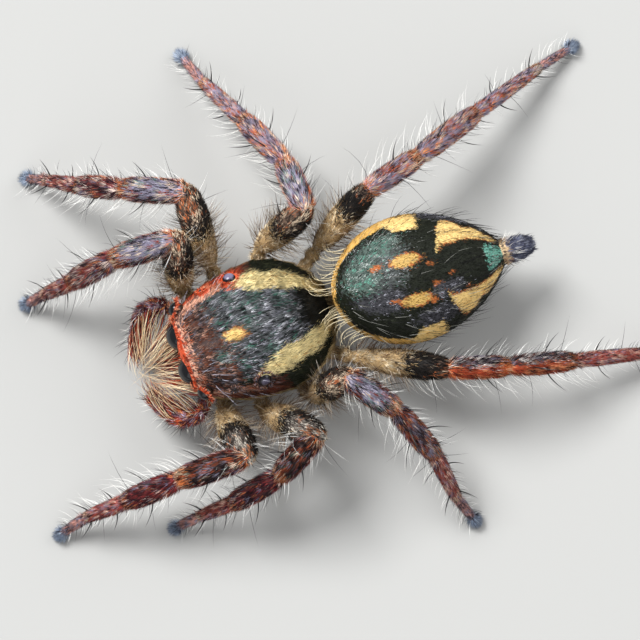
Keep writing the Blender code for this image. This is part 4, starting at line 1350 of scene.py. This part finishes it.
def make_long_leg_hairs():
    """Make the long hairs of all legs as one piece."""
    chance = np.random.default_rng(41)
    coat = Coat("leg_bristles", "leg", HAIR_FINISH, 8)
    for row, name in enumerate(LEGS):
        for where, number, turns, lengths, lean, width, tint in LONG_LEG_HAIRS:
            rows, places = [], []
            for k, (share, low, high) in enumerate(where):
                for n in range(int(number * share)):
                    along = chance.uniform(low, high)
                    turn = chance.uniform(*turns)
                    length = chance.uniform(*lengths) * (1.0 if k < 3 else FOOT_SHORTENING)
                    tilt = math.radians(chance.normal(lean, 10))
                    rows.append(leg_growth(name, k, along, turn, length, tilt))
                    places.append((row, (k + along) / 5, turn / 360 + 0.5))
            root, control, tip, out = (np.array(column) for column in zip(*rows))
            colours = np.tile(tint, (len(root), 1)) * chance.uniform(0.7, 1.2, (len(root), 1))
            coat.add(root, control, tip, width, colours, np.array(places), out, flat=1.0,
                     rings=4, sides=3, root_shade=0.8)
    return coat.make()


make_long_leg_hairs()

# %% [markdown]
# The beard is the spider's most striking feature from in front: long cream hairs
# from the face and the feelers, combed towards one place before the jaws, with rust
# fur showing between. Each hair starts on its form and ends near that place.

# %% Beard
BEARD_AIM = np.array((0.02, -2.62, 1.06))
BEARD_SPREAD = (0.15, 0.14, 0.09)
# Tints, width, number of hairs, share of the way, height over the place
UNDER_BEARD = (((0.42, 0.07, 0.03), (0.10, 0.020, 0.018), (0.03, 0.012, 0.014)),
               0.022, 420, (0.35, 0.85), -0.10)
TOP_BEARD = (((1.00, 0.84, 0.58), (0.84, 0.64, 0.38), (0.46, 0.26, 0.15)),
             0.0150, 190, (0.72, 1.10), 0.05)


def beard_layer(coat, layer, root, out, chance, row):
    """Comb one layer of hairs from their roots towards the place before the jaws."""
    tints, width, number, reach, height = layer
    count = len(root)
    astray = chance.normal(0, 1, (count, 3)) * BEARD_SPREAD
    goal = BEARD_AIM + np.array((0, 0, height)) + astray
    tip = root + (goal - root) * chance.uniform(reach[0], reach[1], (count, 1))
    bow = np.array((0.0, -0.06, 0.08 + height))
    control = (root + tip) / 2 + out * 0.12 + bow + chance.normal(0, 0.03, (count, 3))
    colours = np.array(tints)[chance.integers(0, len(tints), count)]
    colours = colours * chance.uniform(0.75, 1.15, count)[:, None]
    places = np.stack((np.full(count, row), chance.uniform(0, 1, count),
                       chance.uniform(0, 1, count)), axis=1)
    coat.add(root, control, tip, width * chance.uniform(0.7, 1.2, count), colours, places, out,
             flat=0.8, rings=5, sides=3, root_shade=0.75)


def make_beard():
    """Make the beard from the feelers and from under the front eyes."""
    chance = np.random.default_rng(51)
    coat = Coat("beard", "palp", HAIR_FINISH, 4)
    palps = [form for form in FORMS if form.part == "palp" and form.step > 0]
    for layer in (UNDER_BEARD, TOP_BEARD):
        number = layer[2]
        for form in palps:
            u, v, root, out, ahead = scatter(form, 900, chance)
            rows = np.flatnonzero((out[:, 0] * form.side < 0.45) & (out[:, 2] > -0.05))
            rows = rows[:number // (2 * len(palps)) + 1]
            beard_layer(coat, layer, root[rows], out[rows], chance, form.step)
        x = chance.uniform(-1.02, 1.02, number // 2)
        y = -1.60 + 0.22 * np.abs(x) ** 2 + chance.normal(0, 0.02, number // 2)
        z = 1.62 - 0.14 * chance.uniform(0, 1, number // 2) + 0.10 * np.abs(x)
        way = np.stack((0.5 * x, np.full(len(x), -1.0), np.full(len(x), 0.15)), axis=1)
        beard_layer(coat, layer, np.stack((x, y, z), axis=1), unit(way), chance, 0)
    return coat.make()


make_beard()

# %% [markdown]
# Stiff little hairs stand round each eye like lashes. On the real animal they hide
# the ring of skin that holds the eye, so they start on that ring and point away from
# the eye and a little backwards.

# %% Lashes
# Eye: hairs, length, colours of the right side, colours of the left side
LASHES = {
    "am": (380, 0.10, "head red", "head red"),
    "al": (260, 0.13, "head red", "head red"),
    "pm": (80, 0.08, "head red", "head brown"),
    "pl": (240, 0.10, "head red", "head brown"),
}


def make_lashes():
    """Make the small hairs round all eyes as one piece."""
    chance = np.random.default_rng(55)
    coat = Coat("lashes", "carapace", HAIR_FINISH, 8)
    for k, (name, side, centre, radius, facing) in enumerate(every_eye()):
        number, length, right, left = LASHES[name]
        one, two = axes_along(facing)
        turn = chance.uniform(0, 2 * math.pi, number)[:, None]
        spoke = one * np.cos(turn) + two * np.sin(turn)
        slope = chance.uniform(0.0, math.pi * 0.6, number)[:, None]
        out = spoke * np.sin(slope) + facing * np.cos(slope)
        middle = centre + facing * radius * RIM_DEPTH
        root = middle + spoke * rim_radius(radius) + out * RIM * 0.7
        back = np.array((0.0, 0.7, 0.0)) * np.maximum(spoke[:, 2:], 0)
        way = unit(spoke * 0.8 + back + chance.normal(0, 0.30, (number, 3)))
        reach = (length * chance.uniform(0.6, 1.2, number))[:, None]
        low = (spoke[:, 2] < -0.35) & (name[0] == "a")
        zones = np.where(low, ZONE_NUMBER["clypeus"], ZONE_NUMBER[right if side < 0 else left])
        colours = hair_colours(zones, chance.uniform(0, 1, number))
        places = np.stack((np.full(number, k // 2), turn[:, 0] / 7, slope[:, 0] / 7), axis=1)
        coat.add(root, root + way * reach * 0.5 + facing * 0.01, root + way * reach, 0.019,
                 colours, places, out, rings=2, root_shade=0.7)
    return coat.make()


make_lashes()

# %% [markdown]
# A few more long hairs finish the trunk: hooked cream hairs from the abdomen's front
# edge over the gap before it, thin black ones that trail over abdomen and spinnerets,
# black bristles on head and feelers, and pale ones that cross the head.

# %% Trailing hairs of the trunk
TRUNK_BLACK = (0.010, 0.009, 0.010)
# Part, row of the map, number, span, turns, length, width, tint, lift, lean backwards
TRUNK_HAIRS = (
    ("abdomen", 0, 280, (0.45, 0.97), (-0.02, 0.52), 0.60, 0.012, TRUNK_BLACK, 0.30, 1.0),
    ("abdomen", 0, 140, (0.10, 0.60), (0.02, 0.48), 0.45, 0.012, TRUNK_BLACK, 0.30, 1.0),
    ("abdomen", 0, 90, (0.15, 0.90), (0.04, 0.46), 0.50, 0.010, (0.30, 0.30, 0.27), 0.30, 1.0),
    ("spinneret", 3, 90, (0.05, 0.55), (0.0, 1.0), 0.24, 0.011, (0.80, 0.78, 0.74), 0.9, 0.8),
    ("spinneret", 3, 40, (0.10, 0.95), (0.0, 1.0), 0.24, 0.011, TRUNK_BLACK, 0.7, 0.9),
    ("shield", 1, 120, (0.05, 0.95), (0.08, 0.42), 0.40, 0.012, TRUNK_BLACK, 0.8, 0.4),
    ("shield", 1, 44, (0.02, 0.45), (0.03, 0.47), 0.42, 0.011, (0.62, 0.60, 0.70), 0.5, 0.9),
)
# The same without the part, for each segment of a feeler
PALP_HAIRS = (
    (2, 26, (0.05, 0.95), (0.0, 1.0), 0.42, 0.013, TRUNK_BLACK, 0.9, 0.4),
    (2, 24, (0.05, 0.95), (0.0, 1.0), 0.34, 0.011, (0.95, 0.92, 0.86), 0.9, 0.3),
)


def trailing(coat, form, row, number, span, turns, length, width, tint, lift, back, chance):
    """Grow long hairs from a span of a form; back says how far they lean backwards."""
    u = chance.uniform(*span, number)
    v = chance.uniform(*turns, number)
    root, out, ahead, cell = form.shape(u, v)
    free = clear_of_eyes(root)
    u, v, root, out, ahead = u[free], v[free], root[free], out[free], ahead[free]
    count = len(root)
    reach = (length * chance.uniform(0.6, 1.2, count))[:, None]
    astray = chance.normal(0, 0.25, (count, 3))
    way = unit(out * lift + ahead * back + astray)
    control = root + way * reach * 0.55
    tip = control + unit(way * 0.6 + ahead * back * 0.6 - np.array((0, 0, 0.35))) * reach * 0.5
    colours = np.tile(tint, (count, 1)) * chance.uniform(0.7, 1.2, (count, 1))
    places = np.stack((np.full(count, row), u, v), axis=1)
    coat.add(root - out * ROOT_SINK, control, tip, width, colours, places, out, flat=1.0, rings=5,
             sides=3, root_shade=0.85)


# %% Hooked hairs over the gap
NAPE_RISE = np.array((0.0, -1.00, 0.45))
NAPE_HOOK = np.array((0.0, -0.76, 0.0))


def nape(coat, form, number, width, tint, chance):
    """Grow two combs of hooked hairs from the abdomen's front edge over the gap."""
    side = np.tile((-1.0, 1.0), number)
    count = len(side)
    step = np.repeat((np.arange(number) + 0.5) / number, 2) + chance.normal(0, 0.03, count)
    u = 0.045 + 0.20 * step + chance.normal(0, 0.008, count)
    v = 0.25 + side * (30 + 46 * step) / 360
    root, out, ahead, cell = form.shape(u, v)
    reach = chance.uniform(0.40, 0.72, count)[:, None]
    outward = np.stack((side, np.zeros(count), np.zeros(count)), axis=1)
    astray = chance.normal(0, 0.13, (count, 3))
    control = root + (NAPE_RISE + astray) * reach
    outward = outward * chance.uniform(0.3, 0.8, (count, 1))
    tip = root + (NAPE_HOOK + outward + astray) * reach
    colours = np.tile(tint, (count, 1)) * chance.uniform(0.7, 1.1, (count, 1))
    places = np.stack((np.zeros(count), u, v), axis=1)
    coat.add(root, control, tip, width, colours, places, out, flat=1.0, rings=7, sides=3,
             root_shade=0.85)


# %% All long hairs of the trunk
CREAM = (1.00, 0.86, 0.56)


def make_trunk_hairs():
    """Make the long hairs of head, abdomen and feelers as one piece."""
    chance = np.random.default_rng(61)
    coat = Coat("trunk_bristles", "abdomen", HAIR_FINISH, 4)
    first = {}
    for form in FORMS:
        first.setdefault(form.part, form)
    nape(coat, first["abdomen"], 24, 0.0125, CREAM, chance)
    for part, *kind in TRUNK_HAIRS:
        trailing(coat, first[part], *kind, chance)
    for form in owned_by("palps"):
        for kind in PALP_HAIRS:
            trailing(coat, form, *kind, chance)
    return coat.make()


make_trunk_hairs()

# %% [markdown]
# Each eye is a clear polished dome over a dark ground. A glass dome over a dark cup
# could be built, but at this size a solid sphere under a hard glossy coat looks the
# same and renders faster. Its tint is near black, with a brown rim round the four front
# eyes. The two large hind ones carry a painted reflection, a lilac-grey disc, which is
# painted smaller and dimmer on the left eye, on the side away from the light.

# %% Eyes
# Eye: tint of the middle, tint outside it, where one changes to the other
EYE_TINTS_AND_REFLECTIONS = {
    "am": ((0.004, 0.004, 0.005), (0.030, 0.016, 0.010), 0.80),
    "al": ((0.004, 0.004, 0.005), (0.030, 0.016, 0.010), 0.80),
    "pm": ((0.010, 0.009, 0.012), (0.010, 0.009, 0.012), 0.50),
    # The lilac-grey middle of the hind eyes is a painted reflection, dimmer on the left eye, away
    # from the light.
    "pl": ((0.15, 0.13, 0.20), (0.005, 0.004, 0.006), 0.40),
    "pl_l": ((0.06, 0.05, 0.08), (0.005, 0.004, 0.006), 0.30),
}
EDGE_SOFTNESS = 0.12


def make_eye(name, side, centre, radius, facing):
    """Make one eye that stands for the solid of the same name."""
    rings, columns = 26, 40
    full_name = name + ("_l" if side > 0 else "_r")
    one, two = axes_along(facing)
    polar = np.repeat(np.linspace(0, math.pi, rings), columns)
    turn = np.tile(2 * math.pi * np.arange(columns) / columns, rings)
    around = one * np.cos(turn)[:, None] + two * np.sin(turn)[:, None]
    shape = facing * np.cos(polar)[:, None] + around * np.sin(polar)[:, None]
    points = (centre + shape * radius + SHIFT) * MM
    faces = []
    for i in range(rings - 1):
        a, b = i * columns, (i + 1) * columns
        for j in range(columns):
            k = (j + 1) % columns
            faces.append((a + j, b + j, b + k, a + k))
    mesh = bpy.data.meshes.new("lens_" + full_name)
    mesh.from_pydata([tuple(row) for row in points], [], faces)
    inner, outer, edge = EYE_TINTS_AND_REFLECTIONS.get(full_name, EYE_TINTS_AND_REFLECTIONS[name])
    share = np.clip((polar / (math.pi / 2) - edge) / EDGE_SOFTNESS, 0, 1)[:, None]
    add_tint(mesh, np.array(inner) * (1 - share) + np.array(outer) * share)
    mesh.materials.append(EYE_FINISH)
    mesh.shade_smooth()
    eye = put_in_scene(mesh.name, mesh)
    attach(eye, "root")
    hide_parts("eye_" + full_name)
    return eye


for eye in every_eye():
    make_eye(*eye)
print("eyes:", 2 * len(EYES))

# %% [markdown]
# The studio is a pale floor and soft light from large panels. The main one stands on
# the spider's right, where the photograph's light comes from. All stand half a metre
# off, so that the floor near the spider is lit evenly.

# %% Floor and light
FLOOR_SIZE = 0.6
FLOOR_COLOUR = (0.40, 0.40, 0.39, 1.0)
SKY_COLOUR = (0.95, 0.97, 1.0, 1.0)
SKY_STRENGTH = 0.44
# Name, place, size, power
PANELS = (
    ("key", (-0.36, -0.135, 0.45), 0.27, 5.9),
    ("fill", (0.36, -0.24, 0.33), 0.48, 0.8),
    ("back", (-0.06, 0.45, 0.33), 0.36, 1.3),
)


def make_floor():
    """Make the pale floor under the feet."""
    mesh = bpy.data.meshes.new("floor")
    half = FLOOR_SIZE / 2
    corners = [(-half, -half, 0), (half, -half, 0), (half, half, 0), (-half, half, 0)]
    mesh.from_pydata(corners, [], [(0, 1, 2, 3)])
    paper = bpy.data.materials.new("floor")
    paper.use_nodes = True
    shader = paper.node_tree.nodes["Principled BSDF"]
    shader.inputs["Base Color"].default_value = FLOOR_COLOUR
    shader.inputs["Roughness"].default_value = 1.0
    shader.inputs["Specular IOR Level"].default_value = 0.0
    mesh.materials.append(paper)
    floor = put_in_scene("floor", mesh)


def make_panel(name, place, size, power):
    """Make one square soft light aimed at the spider."""
    data = bpy.data.lights.new(name, "AREA")
    data.size = size
    data.energy = power
    lamp = put_in_scene(name, data)
    lamp.location = place
    lamp.rotation_euler = (-Vector(place)).to_track_quat("-Z", "Y").to_euler()


def make_sky():
    """Fill the room with an even pale light."""
    world = bpy.data.worlds.new("room")
    bpy.context.scene.world = world
    world.use_nodes = True
    sky = world.node_tree.nodes["Background"]
    sky.inputs["Color"].default_value = SKY_COLOUR
    sky.inputs["Strength"].default_value = SKY_STRENGTH


make_floor()
for panel in PANELS:
    make_panel(*panel)
make_sky()
print("light panels:", len(PANELS))
bpy.context.scene.view_settings.view_transform = "Standard"
